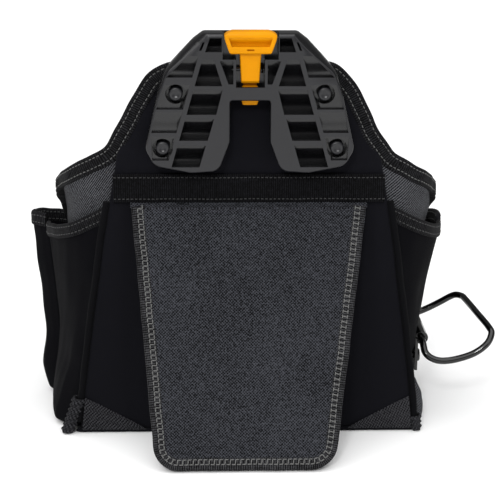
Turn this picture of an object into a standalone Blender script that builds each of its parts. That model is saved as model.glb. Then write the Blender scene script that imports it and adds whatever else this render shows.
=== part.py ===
"""Electrician's clip-on tool pouch: a sewn nylon body with side and front pockets, a ribbed latch hub
riveted to its tall back, a fold-out kickstand, and a steel hammer loop on the right-hand side.

The finished objects are in metres, +Z up. The rear, which carries the hub and the kickstand, faces -Y,
and +X is on the right of someone looking at the rear. The origin is the centre of the base's underside.
Every length below is in millimetres, and the helpers turn it into metres.
"""

import math

import bmesh
import bpy
import numpy as np
from mathutils import Matrix, Vector

MM = 0.001
GAP = 0.3  # clearance between touching pieces

# Body
REAR_Y = -60.0  # rear face of the back panel
BACK_T = 3.7  # padded back panel
WALL_T = 2.5  # side and front walls
BASE_T = 3.0
FLOOR_Z = BASE_T + 2 * GAP  # where the walls start
SEAM_FOOT_X, SEAM_BAND_X, SEAM_BAND_Z = 125.0, 96.0, 172.0  # the piped rear seams lean inwards
FLARE_TOP_Z = 180.0  # the side walls splay up to this height

# Side wall in plan, as the four points of a Bezier from the rear seam to the front corner
SIDE_FOOT = ((None, -56.0), (124.0, -25.0), (124.0, 25.0), (119.0, 58.0))
SIDE_TOP = ((None, -56.0), (149.0, -50.0), (139.0, 10.0), (117.0, 60.0))
FRONT_BULGE = 7.0  # how far the middle of the front wall stands ahead of its corners

# Mouth rim: its outline on the back, then its height along each side and across the front
RIM_W, RIM_T = 12.0, 5.0  # visible width and thickness of the folded binding tape
BACK_RIM = (
    (0, 272.5), (28, 272.5), (44, 272.3), (56, 270), (65, 263.5),
    (72, 254), (78.5, 242), (86, 229), (93, 219.5),
)
SIDE_RIM_T = (0.0, 0.1, 0.2, 0.3, 0.4, 0.47, 0.50, 0.55, 0.62, 0.80, 1.0)
SIDE_RIM_Z = (217.0, 206.5, 199.5, 193.0, 187.0, 182.5, 178.0, 168.0, 158.0, 148.0, 143.0)
EAR_T = 0.5  # where the rim turns down and the two binding tapes meet
FRONT_RIM_DROP = 5.0

# Side pockets: rim height along the wall, and how far the pocket stands off the wall
POCKET_T = 2.3
TAPE_W, TAPE_T = 10.0, 3.6
REAR_POCKET_SPAN = (0.03, 0.55)
TUBE_POCKET_SPAN = (0.57, 0.90)
POCKET_LIFT = 3.4  # clear of the wall where a pocket is sewn to it
LEFT_FULLNESS = {"rear": 11.5, "tube": 24.5, "foot": 3.2}
RIGHT_FULLNESS = {"rear": 8.6, "tube": 10.5, "foot": 64.0}

# Front pockets: name, material, share of the wall's half-width, rim height, fullness
FRONT_POCKETS = (
    ("front_pocket", "black_nylon", 0.95, 118.0, 13.0),
    ("lower_front_pocket", "grey_nylon", 0.86, 76.0, 8.0),
)

# Webbing band that holds the kickstand's hinge
BAND_HALF, BAND_T, BAND_LOW, BAND_HIGH = 93.6, 2.0, 173.4, 193.4

# Kickstand, in its own frame: it hangs straight down from its hinge before it is leaned back
HINGE_Y, HINGE_Z = -61.6, 172.4
KICK_LEAN = math.radians(20.3)
KICK_LENGTH = 183.3
KICK_TOP_HALF, KICK_FOOT_HALF, KICK_CORNER = 81.5, 61.5, 15.0
KICK_NEAR, KICK_FAR = 1.2, -4.8  # pouch side and rear side of its thickness
KICK_TAPE = 8.0
KICK_SKIN_T, KICK_BOARD_T = 1.4, 2.0

# Latch hub
HUB_BACK_Y = REAR_Y - 1.0
HUB_FACE_Y = -76.0
HUB_FLOOR = 3.0  # thickness left behind the deepest cells
HUB_TOP_Z = 292.5
HUB_SLOT_HALF = 13.4
CROSSBAR_LOW, CROSSBAR_HIGH, CROSSBAR_T = 247.0, 256.2, 3.0
RIVETS = ((50.0, 251.5), (59.0, 214.5))
RIVET_HEAD_R, RIVET_POCKET_R, RIVET_SHANK_R = 4.8, 6.2, 2.2

# Latch lever, which rocks on a pin behind the crossbar
PIN_Y, PIN_Z, PIN_R = -68.0, 267.5, 1.5
CHEEK_X = 9.6  # half-width of the lever's well
STEM_HALF = 5.9

# Hammer loop, which swings on a barrel riveted to the right side
WIRE_R = 2.5
BARREL_X, BARREL_Z, BARREL_R, BARREL_HALF = 130.2, 58.0, 4.9, 22.0
PLATE_X, PLATE_T, PLATE_LOW = 125.6, 2.0, 33.0
LOOP_RIVETS_Y, LOOP_RIVET_Z = (-15.0, 15.0), 42.0

COLOURS = {  # slot: colour, roughness, metallic
    "black_nylon": ((0.010, 0.010, 0.013), 0.85, 0.0),
    "grey_nylon": ((0.060, 0.062, 0.070), 0.8, 0.0),
    "kick_canvas": ((0.035, 0.036, 0.040), 0.85, 0.0),
    "webbing": ((0.008, 0.008, 0.009), 0.8, 0.0),
    "piping": ((0.009, 0.009, 0.010), 0.6, 0.0),
    "board": ((0.02, 0.02, 0.02), 0.6, 0.0),
    "hub_plastic": ((0.022, 0.022, 0.024), 0.42, 0.0),
    "latch_plastic": ((0.85, 0.34, 0.012), 0.38, 0.0),
    "dark_steel": ((0.02, 0.02, 0.02), 0.25, 0.9),
    "steel": ((0.45, 0.45, 0.46), 0.3, 1.0),
}


# ---- helpers ------------------------------------------------------------------------------------


def new_collection(name):
    collection = bpy.data.collections.new(name)
    bpy.context.scene.collection.children.link(collection)
    return collection


for old in list(bpy.data.objects):
    bpy.data.objects.remove(old, do_unlink=True)
PARTS = new_collection("electrician_tool_pouch")
CUTTERS = new_collection("cutters")


def paint(name, slot):
    colour, roughness, metallic = COLOURS[slot]
    material = bpy.data.materials.new(name)
    material.use_nodes = True
    shader = material.node_tree.nodes["Principled BSDF"]
    shader.inputs["Base Color"].default_value = (*colour, 1.0)
    shader.inputs["Roughness"].default_value = roughness
    shader.inputs["Metallic"].default_value = metallic
    return material


def add_object(name, data, slot, parent=None):
    """Links a part, or a cutter when slot is None."""
    obj = bpy.data.objects.new(name, data)
    obj.parent = parent
    if slot is None:
        CUTTERS.objects.link(obj)
        obj.hide_render = True
        obj.display_type = "WIRE"
    else:
        PARTS.objects.link(obj)
        data.materials.append(paint(name, slot))
    return obj


def finish_mesh(bm, name, fix_normals=True):
    """The bmesh, whose points are in millimetres, as a mesh in metres."""
    if fix_normals:
        bmesh.ops.recalc_face_normals(bm, faces=bm.faces)
    bmesh.ops.scale(bm, vec=(MM, MM, MM), verts=bm.verts)
    mesh = bpy.data.meshes.new(name)
    bm.to_mesh(mesh)
    bm.free()
    return mesh


def bevel(obj, width, segments=2, angle=35):
    modifier = obj.modifiers.new("edge", "BEVEL")
    modifier.width = width * MM
    modifier.segments = segments
    modifier.limit_method = "ANGLE"
    modifier.angle_limit = math.radians(angle)
    return obj


def cut(obj, cutters):
    for index, cutter in enumerate(cutters):
        modifier = obj.modifiers.new(f"cut_{index}", "BOOLEAN")
        modifier.operation = "DIFFERENCE"
        modifier.object = cutter
    return obj


def join(obj, others):
    for index, other in enumerate(others):
        modifier = obj.modifiers.new(f"join_{index}", "BOOLEAN")
        modifier.operation = "UNION"
        modifier.object = other
    return obj


def block(name, slot, low, high, parent=None):
    bm = bmesh.new()
    bmesh.ops.create_cube(bm, size=1.0)
    low, high = Vector(low), Vector(high)
    bmesh.ops.scale(bm, vec=high - low, verts=bm.verts)
    bmesh.ops.translate(bm, vec=(low + high) / 2, verts=bm.verts)
    return add_object(name, finish_mesh(bm, name), slot, parent)


def rod(name, slot, start, end, radius, sides=24, parent=None):
    """A cylinder from start to end."""
    start, end = Vector(start), Vector(end)
    bm = bmesh.new()
    bmesh.ops.create_cone(
        bm, cap_ends=True, segments=sides, radius1=radius, radius2=radius, depth=(end - start).length
    )
    turn = Vector((0, 0, 1)).rotation_difference(end - start).to_matrix()
    bmesh.ops.rotate(bm, cent=(0, 0, 0), matrix=turn, verts=bm.verts)
    bmesh.ops.translate(bm, vec=(start + end) / 2, verts=bm.verts)
    return add_object(name, finish_mesh(bm, name), slot, parent)


def drill(name, place, along, radius, reach=10.0):
    """A cutter for a round hole that runs both ways from a point, along the X or the Y axis."""
    place = Vector(place)
    step = Vector((reach, 0, 0) if along == "X" else (0, reach, 0))
    return rod(name, None, place - step, place + step, radius)


def loft(name, slot, rings, parent=None):
    """A closed solid through rings that have the same number of points."""
    bm = bmesh.new()
    rows = [[bm.verts.new(point) for point in ring] for ring in rings]
    count = len(rows[0])
    for lower, upper in zip(rows, rows[1:]):
        for i in range(count):
            j = (i + 1) % count
            bm.faces.new((lower[i], lower[j], upper[j], upper[i]))
    bm.faces.new(rows[0])
    bm.faces.new(rows[-1])
    return add_object(name, finish_mesh(bm, name), slot, parent)


def sheet(name, slot, rows, thickness, parent=None):
    """A shell that grows inwards from a grid of outer points, whose rows run up and columns run
    anticlockwise seen from above, so that its faces point out."""
    bm = bmesh.new()
    grid = [[bm.verts.new(point) for point in row] for row in rows]
    for lower, upper in zip(grid, grid[1:]):
        for i in range(len(lower) - 1):
            bm.faces.new((lower[i], lower[i + 1], upper[i + 1], upper[i]))
    obj = add_object(name, finish_mesh(bm, name, fix_normals=False), slot, parent)
    modifier = obj.modifiers.new("thickness", "SOLIDIFY")
    modifier.thickness = thickness * MM
    modifier.offset = -1
    modifier.use_even_offset = True
    return obj


def tube(name, slot, points, radius, resolution=2, parent=None):
    curve = bpy.data.curves.new(name, "CURVE")
    curve.dimensions = "3D"
    curve.bevel_depth = radius * MM
    curve.bevel_resolution = resolution
    curve.use_fill_caps = True
    spline = curve.splines.new("POLY")
    spline.points.add(len(points) - 1)
    for target, point in zip(spline.points, points):
        target.co = (*(Vector(point) * MM), 1.0)
    return add_object(name, curve, slot, parent)


def plate(name, slot, outlines, near_y, far_y, parent=None):
    """A flat plate whose outlines are (x, z) points, between two values of y. A second outline is a hole."""
    curve = bpy.data.curves.new(name, "CURVE")
    curve.dimensions = "2D"
    curve.fill_mode = "BOTH"
    curve.extrude = abs(near_y - far_y) / 2 * MM
    for outline in outlines:
        spline = curve.splines.new("POLY")
        spline.points.add(len(outline) - 1)
        spline.use_cyclic_u = True
        for target, (x, z) in zip(spline.points, outline):
            target.co = (x * MM, z * MM, 0.0, 1.0)
    guide = bpy.data.objects.new(name + "_outline", curve)
    CUTTERS.objects.link(guide)
    graph = bpy.context.evaluated_depsgraph_get()
    mesh = bpy.data.meshes.new_from_object(guide.evaluated_get(graph))
    bpy.data.objects.remove(guide, do_unlink=True)
    bm = bmesh.new()
    bm.from_mesh(mesh)
    bpy.data.meshes.remove(mesh)
    bmesh.ops.remove_doubles(bm, verts=bm.verts, dist=0.01 * MM)
    bmesh.ops.rotate(bm, cent=(0, 0, 0), matrix=upright(), verts=bm.verts)
    bmesh.ops.translate(bm, vec=(0, (near_y + far_y) / 2 * MM, 0), verts=bm.verts)
    bmesh.ops.recalc_face_normals(bm, faces=bm.faces)
    mesh = bpy.data.meshes.new(name)
    bm.to_mesh(mesh)
    bm.free()
    return add_object(name, mesh, slot, parent)


def upright():
    """Turns the XY plane of a drawing up into the XZ plane."""
    return Vector((0, 0, 1)).rotation_difference(Vector((0, -1, 0))).to_matrix()


def rounded(corners, steps=5):
    """The outline through (x, z, radius) corners, with an arc at each corner that has a radius."""
    outline = []
    count = len(corners)
    for i, (x, z, radius) in enumerate(corners):
        corner = Vector((x, z))
        if radius <= 0:
            outline.append((x, z))
            continue
        before = (Vector(corners[i - 1][:2]) - corner).normalized()
        after = (Vector(corners[(i + 1) % count][:2]) - corner).normalized()
        half = before.angle(after) / 2
        centre = corner + (before + after).normalized() * (radius / math.sin(half))
        first = corner + before * (radius / math.tan(half))
        last = corner + after * (radius / math.tan(half))
        sweep = (first - centre).angle_signed(last - centre)
        for k in range(steps + 1):
            turned = (first - centre).copy()
            turned.rotate(Matrix.Rotation(-sweep * k / steps, 2))
            outline.append(tuple(centre + turned))
    return outline


def mirrored(half):
    """A whole outline from the half at x >= 0, whose first and last points may lie on the centre line."""
    other = [(-x, z) for x, z in reversed(half) if x > 0.001]
    return list(half) + other


def smooth(points, per_span=4):
    """A Catmull-Rom curve through the points."""
    points = [Vector(p) for p in points]
    padded = [2 * points[0] - points[1]] + points + [2 * points[-1] - points[-2]]
    path = []
    for a, b, c, d in zip(padded, padded[1:], padded[2:], padded[3:]):
        for k in range(per_span):
            s = k / per_span
            bend = (2 * a - 5 * b + 4 * c - d) * s**2 + (3 * b - a - 3 * c + d) * s**3
            path.append((2 * b + (c - a) * s + bend) / 2)
    return path + [points[-1]]


def flip(points):
    """The points mirrored across the centre plane, in the opposite order."""
    return [Vector((-p[0], p[1], p[2])) for p in reversed(points)]


# ---- the body's walls ---------------------------------------------------------------------------


def seam_x(z):
    """Half-width of the back panel, where the rear piping runs."""
    return SEAM_FOOT_X + (SEAM_BAND_X - SEAM_FOOT_X) * z / SEAM_BAND_Z


def side_controls(z):
    share = min(1.0, (z / FLARE_TOP_Z) ** 2)
    controls = [Vector((seam_x(z) - 1.0, SIDE_FOOT[0][1]))]
    for foot, top in zip(SIDE_FOOT[1:], SIDE_TOP[1:]):
        controls.append(Vector(foot).lerp(Vector(top), share))
    return controls


def side_point(t, z, out=0.0):
    """A point of the right-hand wall's outer face, from the rear seam (t = 0) to the front corner (t = 1)."""
    a, b, c, d = side_controls(z)
    u = 1 - t
    place = a * u**3 + b * 3 * u * u * t + c * 3 * u * t * t + d * t**3
    run = (b - a) * u * u + (c - b) * 2 * u * t + (d - c) * t * t
    normal = Vector((run.y, -run.x)).normalized()
    place = place + normal * out
    return Vector((place.x, place.y, z))


def side_normal(t, z):
    return (side_point(t, z, 1.0) - side_point(t, z)).normalized()


def front_point(u, z, out=0.0):
    """A point of the front wall's outer face, u from -1 at its left edge to 1 at its right."""
    corner = side_controls(z)[3]
    y = corner.y + 0.6 + FRONT_BULGE * (1 - u * u)
    return Vector((u * (corner.x - 3.4), y + out, z))


def rim_height(t):
    return float(np.interp(t, SIDE_RIM_T, SIDE_RIM_Z))


def hang_directions(path):
    """For each station of a rim path, the direction across the tape, down the wall."""
    hang = []
    for i, (_, normal) in enumerate(path):
        run = path[min(i + 1, len(path) - 1)][0] - path[max(i - 1, 0)][0]
        across = run.cross(normal).normalized()
        hang.append(across if across.z < 0 else -across)
    return hang


def tape(name, stations, width, thickness):
    """A folded binding tape through stations of (point on the rim, outward normal, direction down)."""
    rings = []
    for point, normal, down in stations:
        half = normal * thickness / 2
        rings.append([point + half, point + half + down * width, point - half + down * width, point - half])
    return loft(name, "webbing", rings)


def with_hang(path):
    return [(point, normal, down) for (point, normal), down in zip(path, hang_directions(path))]


def mirror_stations(stations):
    return [tuple(Vector((-v.x, v.y, v.z)) for v in station) for station in reversed(stations)]


def right_rim():
    """The rim from the middle of the back, past the ear, to the middle of the front, and the ear's index."""
    flat = smooth([(x, REAR_Y + BACK_T / 2, z) for x, z in BACK_RIM], per_span=3)
    path = [(point, Vector((0, -1, 0))) for point in flat]
    for t in (*np.linspace(0.07, EAR_T - 0.004, 14), *np.linspace(EAR_T + 0.004, 0.985, 18)):
        path.append((side_point(t, rim_height(t), -WALL_T / 2), side_normal(t, rim_height(t))))
    corner = SIDE_RIM_Z[-1]
    for u in np.linspace(0.985, 0.0, 10):
        z = corner - FRONT_RIM_DROP * (1 - u * u)
        path.append((front_point(u, z, -WALL_T / 2), Vector((0.12 * u, 1, 0)).normalized()))
    return with_hang(path), len(flat) + 14


def edge_below(surface, rim, span, width):
    """Where a wall stops below a tape of this width sewn along its rim, as a function of t."""
    ts = np.linspace(span[0], span[1], 81)
    points = np.array([surface(t, rim(t)) for t in ts])
    run = np.concatenate([[0.0], np.cumsum(np.linalg.norm(np.diff(points[:, :2], axis=0), axis=1))])
    slope = np.arctan(np.gradient(points[:, 2], run))
    low_run = run + width * np.sin(slope)
    low_z = points[:, 2] - width * np.cos(slope)
    reach = 5.0  # mm along the wall that the lowest neighbour is looked for in
    edge = [
        min(low_z[np.abs(low_run - r) <= reach], default=np.interp(r, np.sort(low_run), low_z)) for r in run
    ]
    return lambda t: float(np.interp(t, ts, edge)) - 3 * GAP


def make_back_panel():
    """The tall padded back. Its top follows the lower edge of the rim binding."""
    stations, _ = right_rim()
    top = []
    for point, _, down in stations:
        low = point + down * (RIM_W + 2 * GAP)
        if low.x > 82.0:
            break
        top.append((low.x, low.z))
    shoulder_z = 197.0
    half = top + [(seam_x(shoulder_z), shoulder_z), (seam_x(FLOOR_Z), FLOOR_Z)]
    panel = plate("back_panel", "black_nylon", [mirrored(half)], REAR_Y, REAR_Y + BACK_T)
    cut(panel, [
        drill(f"back_hole_{side}_{i}", (side * x, REAR_Y, z), "Y", RIVET_SHANK_R + GAP)
        for side in (-1, 1)
        for i, (x, z) in enumerate(RIVETS)
    ])


def side_rows(count=9, columns=22):
    """Grid of the right-hand wall, from its foot up to just below the rim binding."""
    top_at = edge_below(side_point, rim_height, (0.0, 1.0), RIM_W)
    stations = np.linspace(0.0, 1.0, columns)
    rows = []
    for i in range(count):
        share = i / (count - 1)
        rows.append([side_point(t, FLOOR_Z + (top_at(t) - FLOOR_Z) * share) for t in stations])
    return rows


def make_side_walls():
    rows = side_rows()
    right = sheet("right_gusset", "grey_nylon", rows, WALL_T)
    sheet("left_gusset", "grey_nylon", [flip(row) for row in rows], WALL_T)
    cut(right, [
        drill(f"gusset_hole_{i}", (PLATE_X - 3, y, LOOP_RIVET_Z), "X", RIVET_SHANK_R + GAP)
        for i, y in enumerate(LOOP_RIVETS_Y)
    ])


def make_front_wall(count=5, columns=15):
    rows = []
    for i in range(count):
        row = []
        for u in np.linspace(1, -1, columns):
            top = SIDE_RIM_Z[-1] - FRONT_RIM_DROP * (1 - u * u) - RIM_W - 2.2 * GAP
            row.append(front_point(u, FLOOR_Z + (top - FLOOR_Z) * i / (count - 1)))
        rows.append(row)
    sheet("front_panel", "black_nylon", rows, WALL_T)


def base_outline(inset):
    """Plan of the body's foot, as (x, y) points of the right half from the rear to the front."""
    rear = REAR_Y + inset
    half = [(0.0, rear), (SEAM_FOOT_X - inset - 0.4, rear)]
    half += [tuple(side_point(t, 0.0, -inset).xy) for t in np.linspace(0.06, 0.98, 8)]
    half += [tuple(front_point(u, 0.0, -inset).xy) for u in (0.9 - inset / 200, 0.6, 0.3, 0.0)]
    return half


def slab(name, slot, half, low, high):
    """A level plate whose half outline is given in plan."""
    outline = mirrored(half)
    return loft(name, slot, [[(x, y, low) for x, y in outline], [(x, y, high) for x, y in outline]])


def make_base():
    slab("base_panel", "black_nylon", base_outline(0.0), 0.0, BASE_T)
    slab("base_board", "board", base_outline(6.0), BASE_T + GAP, BASE_T + GAP + 2.0)


def make_rim_bindings():
    stations, ear = right_rim()
    back, front = stations[:ear], stations[ear:]
    tape("back_rim_binding", mirror_stations(back)[:-1] + back, RIM_W, RIM_T)
    tape("front_rim_binding", front + mirror_stations(front)[1:], RIM_W, RIM_T)


def make_seams():
    """Piping along the rear seams, and the grey guards that wrap the rear corners of the foot."""
    run = [(seam_x(z) + 3.0, REAR_Y + 1.0, z) for z in np.linspace(21.0, 170.5, 8)]
    tube("right_piping", "piping", run, 2.5)
    tube("left_piping", "piping", [(-x, y, z) for x, y, z in run], 2.5)
    front = [front_point(1.0, z) + Vector((3.6, 2.6, 0)) for z in np.linspace(5.0, 129.0, 7)]
    tube("right_front_piping", "piping", front, 2.0)
    tube("left_front_piping", "piping", [(-x, y, z) for x, y, z in front], 2.0)
    foot = (
        (128.4, -60.8), (126.6, -61.9), (124.0, -62.0),
        (110.0, -61.9), (97.0, -61.8), (84.0, -61.7),
    )
    wings = (  # the side part of each guard, in plan: the left one runs out over its full pocket
        ("right", ((130.2, -36.0), (130.0, -48.0), (129.4, -57.0))),
        ("left", ((138.2, -46.0), (135.6, -51.0), (132.0, -57.0))),
    )
    tops = (19.0, 20.0, 20.0, 20.0, 20.0, 19.5, 14.5, 9.8, 5.2)
    for side, wing in wings:
        plan = wing + foot
        rows = []
        for share in (0.0, 0.5, 1.0):
            row = [Vector((x, y, 0.4 + (top - 0.4) * share)) for (x, y), top in zip(plan, tops)]
            rows.append(row[::-1])
        if side == "left":
            rows = [flip(row) for row in rows]
        sheet(f"{side}_corner_guard", "grey_nylon", rows, 1.3)


# ---- pockets ------------------------------------------------------------------------------------


def rear_rim(t):
    """Rim height of a rear side pocket: it falls from the piping to the pocket's front seam."""
    start, end = REAR_POCKET_SPAN
    s = min(1.0, max(0.0, (t - start) / (end - start)))
    return 168.0 - 27.5 * (1 - (1 - s) ** 1.7)


def tube_rim(t):
    start, end = TUBE_POCKET_SPAN
    return 142.0 - 11.0 * ((t - start) / (end - start)) ** 2


def rear_share(t, z, bulges_early):
    start, end = REAR_POCKET_SPAN
    power = 0.35 + 0.85 * min(1.0, z / 110.0) if bulges_early else 1.3
    return max(0.0, (t - start) / (end - start)) ** power


def full_tube_share(t, z, bulges_early):
    """Plan of a full tool tube: it leaves the rear pocket's seam, rounds out and comes back to the wall."""
    stops = (0.57, 0.595, 0.625, 0.67, 0.73, 0.78, 0.83, 0.87, 0.90)
    shares = (0.50, 0.74, 0.93, 1.0, 0.97, 0.80, 0.52, 0.24, 0.0)
    return float(np.interp(t, stops, shares))


def slim_tube_share(t, z, bulges_early):
    stops = (0.57, 0.63, 0.70, 0.78, 0.85, 0.90)
    shares = (0.86, 0.97, 1.0, 0.85, 0.40, 0.0)
    return float(np.interp(t, stops, shares))


def fullness(z, foot, soft_foot):
    """How much of its fullness a pocket has at this height: a full pocket rounds under at the foot, and a
    tapering one grows all the way up."""
    if soft_foot:
        return min(1.0, 0.55 + 0.45 * math.sqrt(max(0.0, z - foot) / 26.0))
    return min(1.0, max(0.0, (z - foot) / 74.0))


def pocket_start(t, span, z):
    """Near the rear seam the wall turns towards the back, so a pocket starts further along it."""
    clear = 0.067 * min(1.0, (z / FLARE_TOP_Z) ** 2)
    share = (t - span[0]) / (span[1] - span[0])
    return t + clear * (1 - share) if span == REAR_POCKET_SPAN else t


def side_pocket(name, span, rim, share, amount, foot, side, columns):
    soft_foot = side < 0
    stations = np.linspace(span[0], span[1], columns)

    def outer(t, z):
        swell = amount * share(t, z, soft_foot) * fullness(z, foot, soft_foot)
        return side_point(pocket_start(t, span, z), z, POCKET_LIFT + swell)

    top_at = edge_below(outer, rim, span, TAPE_W)
    rows = []
    if soft_foot:
        rows.append([side_point(pocket_start(t, span, foot), foot, POCKET_LIFT) for t in stations])
    for level in (0.0, 0.05, 0.14, 0.35, 0.6, 0.8, 1.0):
        rows.append([outer(t, foot + (top_at(t) - foot) * level) for t in stations])
    path = []
    for t in np.linspace(span[0], span[1], columns * 2):
        z = rim(t)
        run = outer(min(span[1], t + 0.01), z) - outer(max(span[0], t - 0.01), z)
        normal = Vector((run.y, -run.x, 0)).normalized()
        path.append((outer(t, z) - normal * POCKET_T / 2, normal))
    stations = with_hang(path)
    if side < 0:
        rows = [flip(row) for row in rows]
        stations = mirror_stations(stations)
    sheet(name, "black_nylon", rows, POCKET_T)
    tape(name + "_binding", stations, TAPE_W, TAPE_T)


def make_side_pockets():
    for side, label, sizes, tube_share in (
        (-1, "left", LEFT_FULLNESS, full_tube_share),
        (1, "right", RIGHT_FULLNESS, slim_tube_share),
    ):
        foot = sizes["foot"]
        side_pocket(f"{label}_side_pocket", REAR_POCKET_SPAN, rear_rim, rear_share, sizes["rear"], foot, side, 10)
        side_pocket(f"{label}_tube_pocket", TUBE_POCKET_SPAN, tube_rim, tube_share, sizes["tube"], foot, side, 13)


def make_front_pockets():
    """Two pockets, the lower one sewn on the face of the taller one."""
    behind = front_point
    for name, slot, half, rim, full in FRONT_POCKETS:

        def outer(u, z, out=0.0, behind=behind, half=half, full=full):
            rise = min(1.0, 0.3 + 0.7 * math.sqrt(max(0, z - 4) / 24))
            swell = full * rise * max(0.0, 1 - abs(u / half) ** 3)
            return behind(u, z, POCKET_LIFT + swell + out)

        foot = FLOOR_Z
        stations = np.linspace(half, -half, 17)
        rows = [[behind(u, foot, POCKET_LIFT) for u in stations]]
        for level in (0.0, 0.06, 0.18, 0.45, 0.72, 1.0):
            z = foot + (rim - TAPE_W - 2 * GAP - foot) * level
            rows.append([outer(u, z) for u in stations])
        sheet(name, slot, rows, POCKET_T)
        path = []
        for u in np.linspace(half, -half, 29):
            run = outer(max(-half, u - 0.02), rim) - outer(min(half, u + 0.02), rim)
            normal = Vector((run.y, -run.x, 0)).normalized()
            path.append((outer(u, rim) - normal * POCKET_T / 2, normal))
        tape(name + "_binding", with_hang(path), TAPE_W, TAPE_T)
        behind = outer


# ---- kickstand ----------------------------------------------------------------------------------


def kick_half(drop):
    """Half-width of the kickstand this far below its hinge."""
    return KICK_TOP_HALF + (KICK_FOOT_HALF - KICK_TOP_HALF) * drop / KICK_LENGTH


def kick_outline(top, inset, bottom_inset, radius):
    low = KICK_LENGTH - bottom_inset
    corners = [
        (kick_half(top) - inset, -top, 0),
        (kick_half(low) - inset, -low, radius),
        (-kick_half(low) + inset, -low, radius),
        (-kick_half(top) + inset, -top, 0),
    ]
    return rounded(corners)


def make_kickstand():
    hinge = bpy.data.objects.new("kickstand_hinge_line", None)
    PARTS.objects.link(hinge)
    hinge.location = (0, HINGE_Y * MM, HINGE_Z * MM)
    hinge.rotation_euler = (-KICK_LEAN, 0, 0)
    skin = kick_outline(9.4, KICK_TAPE + GAP, KICK_TAPE + GAP, KICK_CORNER - KICK_TAPE)
    near, far = KICK_NEAR - 0.3, KICK_FAR + 0.3
    plate("kickstand_rear_face", "kick_canvas", [skin], far, far + KICK_SKIN_T, hinge)
    board_far = far + KICK_SKIN_T + GAP
    plate("kickstand_board", "board", [skin], board_far, board_far + KICK_BOARD_T, hinge)
    plate("kickstand_pouch_face", "kick_canvas", [skin], near - KICK_SKIN_T + 0.35, near, hinge)
    outer = kick_outline(9.4, 0.0, 0.0, KICK_CORNER)
    inner = kick_outline(9.4, KICK_TAPE, KICK_TAPE, KICK_CORNER - KICK_TAPE)
    frame = outer[:-1] + [outer[-1], inner[-1]] + inner[-2::-1]
    plate("kickstand_binding", "webbing", [frame], KICK_FAR, KICK_NEAR, hinge)
    top = mirrored([(KICK_TOP_HALF, -1.2), (KICK_TOP_HALF - 0.9, -9.1)])
    plate("kickstand_hinge_tape", "webbing", [top], KICK_FAR + 2.6, KICK_NEAR, hinge)
    block(
        "hinge_webbing_band", "webbing",
        (-BAND_HALF, REAR_Y - GAP - BAND_T, BAND_LOW), (BAND_HALF, REAR_Y - GAP, BAND_HIGH),
    )


# ---- latch hub ----------------------------------------------------------------------------------


def hub_outline():
    half = [
        (0, HUB_TOP_Z, 0),
        (33.5, HUB_TOP_Z, 4),
        (49.5, 273, 22),
        (61.5, 254, 30),
        (71.0, 214, 9),
        (64.5, 202, 10),
        (40, 197.2, 14),
        (21, 198.4, 8),
        (HUB_SLOT_HALF, 219, 8),
        (HUB_SLOT_HALF, CROSSBAR_LOW, 1.5),
        (0, CROSSBAR_LOW, 0),
    ]
    points = rounded(half)
    return mirrored(points)


def scoop(name, corners, shallow, deep):
    """A cutter for one cell. Its four (x, z) corners go round from the upper inner one, and its floor
    curves down from the depth `shallow` at the upper edge to `deep` at the lower edge."""
    upper_in, upper_out, lower_out, lower_in = (Vector(c) for c in corners)
    rings = []
    for down, share in ((0.0, 0.0), (0.25, 0.12), (0.55, 0.45), (0.8, 1.0), (1.0, 1.0)):
        inner, outer = upper_in.lerp(lower_in, down), upper_out.lerp(lower_out, down)
        front, back = HUB_FACE_Y - 2, HUB_FACE_Y + shallow + share * (deep - shallow)
        rings.append([
            (inner.x, front, inner.y), (outer.x, front, outer.y),
            (outer.x, back, outer.y), (inner.x, back, inner.y),
        ])
    return loft(name, None, rings)


def rib_x(z):
    """The long rib that divides each leg's inner cells from its outer ones."""
    return 33.0 + (53.0 - 33.0) * (272.0 - z) / (272.0 - 202.0)


def strip_x(z):
    """The outer edge of the smooth strip beside the slot."""
    return float(np.interp(z, (199, 220, 238, 256, 276), (28.5, 24.2, 20.8, 17.4, 21.5)))


def edge_x(z):
    """The hub's outer edge."""
    return float(np.interp(z, (205, 214, 254, 273, 284), (65.5, 70.3, 61.0, 49.2, 41.5)))


def hub_cells(side):
    """Cutters for the open cells of one leg."""
    depth = HUB_BACK_Y - HUB_FACE_Y - HUB_FLOOR
    rib, border = 1.5, 2.4
    cells = []
    for i, (high, low) in enumerate(((272.5, 256.8), (253.2, 237.6), (234.4, 219.6), (216.6, 201.6))):
        corners = [
            (strip_x(high) + rib, high), (rib_x(high) - rib, high),
            (rib_x(low) - rib, low), (strip_x(low) + rib, low),
        ]
        cells.append(("inner", i, corners, 3.0, depth))
    for i, (high, low) in enumerate(((276.0, 260.5), (240.5, 225.8))):
        corners = [
            (rib_x(high) + rib, high), (edge_x(high) - border, high),
            (edge_x(low) - border, low), (rib_x(low) + rib, low),
        ]
        cells.append(("outer", i, corners, 1.2, 7.0))
    corners = [(22.5, 288.5), (30.5, 288.5), (31.0, 277.5), (22.5, 277.5)]
    cells.append(("hood", 0, corners, 5.0, depth))
    return [
        scoop(f"cell_{kind}_{i}_{side}", [(side * x, z) for x, z in corners], shallow, deep)
        for kind, i, corners, shallow, deep in cells
    ]


def lever_cutters(floor):
    """The lever's well: open above the crossbar, tunnelled behind it, and open into the slot below it."""
    front, behind_bar = HUB_FACE_Y - 2, HUB_FACE_Y + CROSSBAR_T
    return [
        block("lever_well", None, (-CHEEK_X, front, CROSSBAR_HIGH), (CHEEK_X, floor, 278.0)),
        block("lever_tunnel", None, (-CHEEK_X, behind_bar, CROSSBAR_LOW - 3), (CHEEK_X, floor, 262.0)),
        block("head_notch", None, (-18.6, front, 275.0), (18.6, floor, HUB_TOP_Z + 3)),
        rod("pin_bore", None, (-CHEEK_X - 3, PIN_Y, PIN_Z), (CHEEK_X + 3, PIN_Y, PIN_Z), PIN_R + 0.1, sides=16),
    ]


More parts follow.
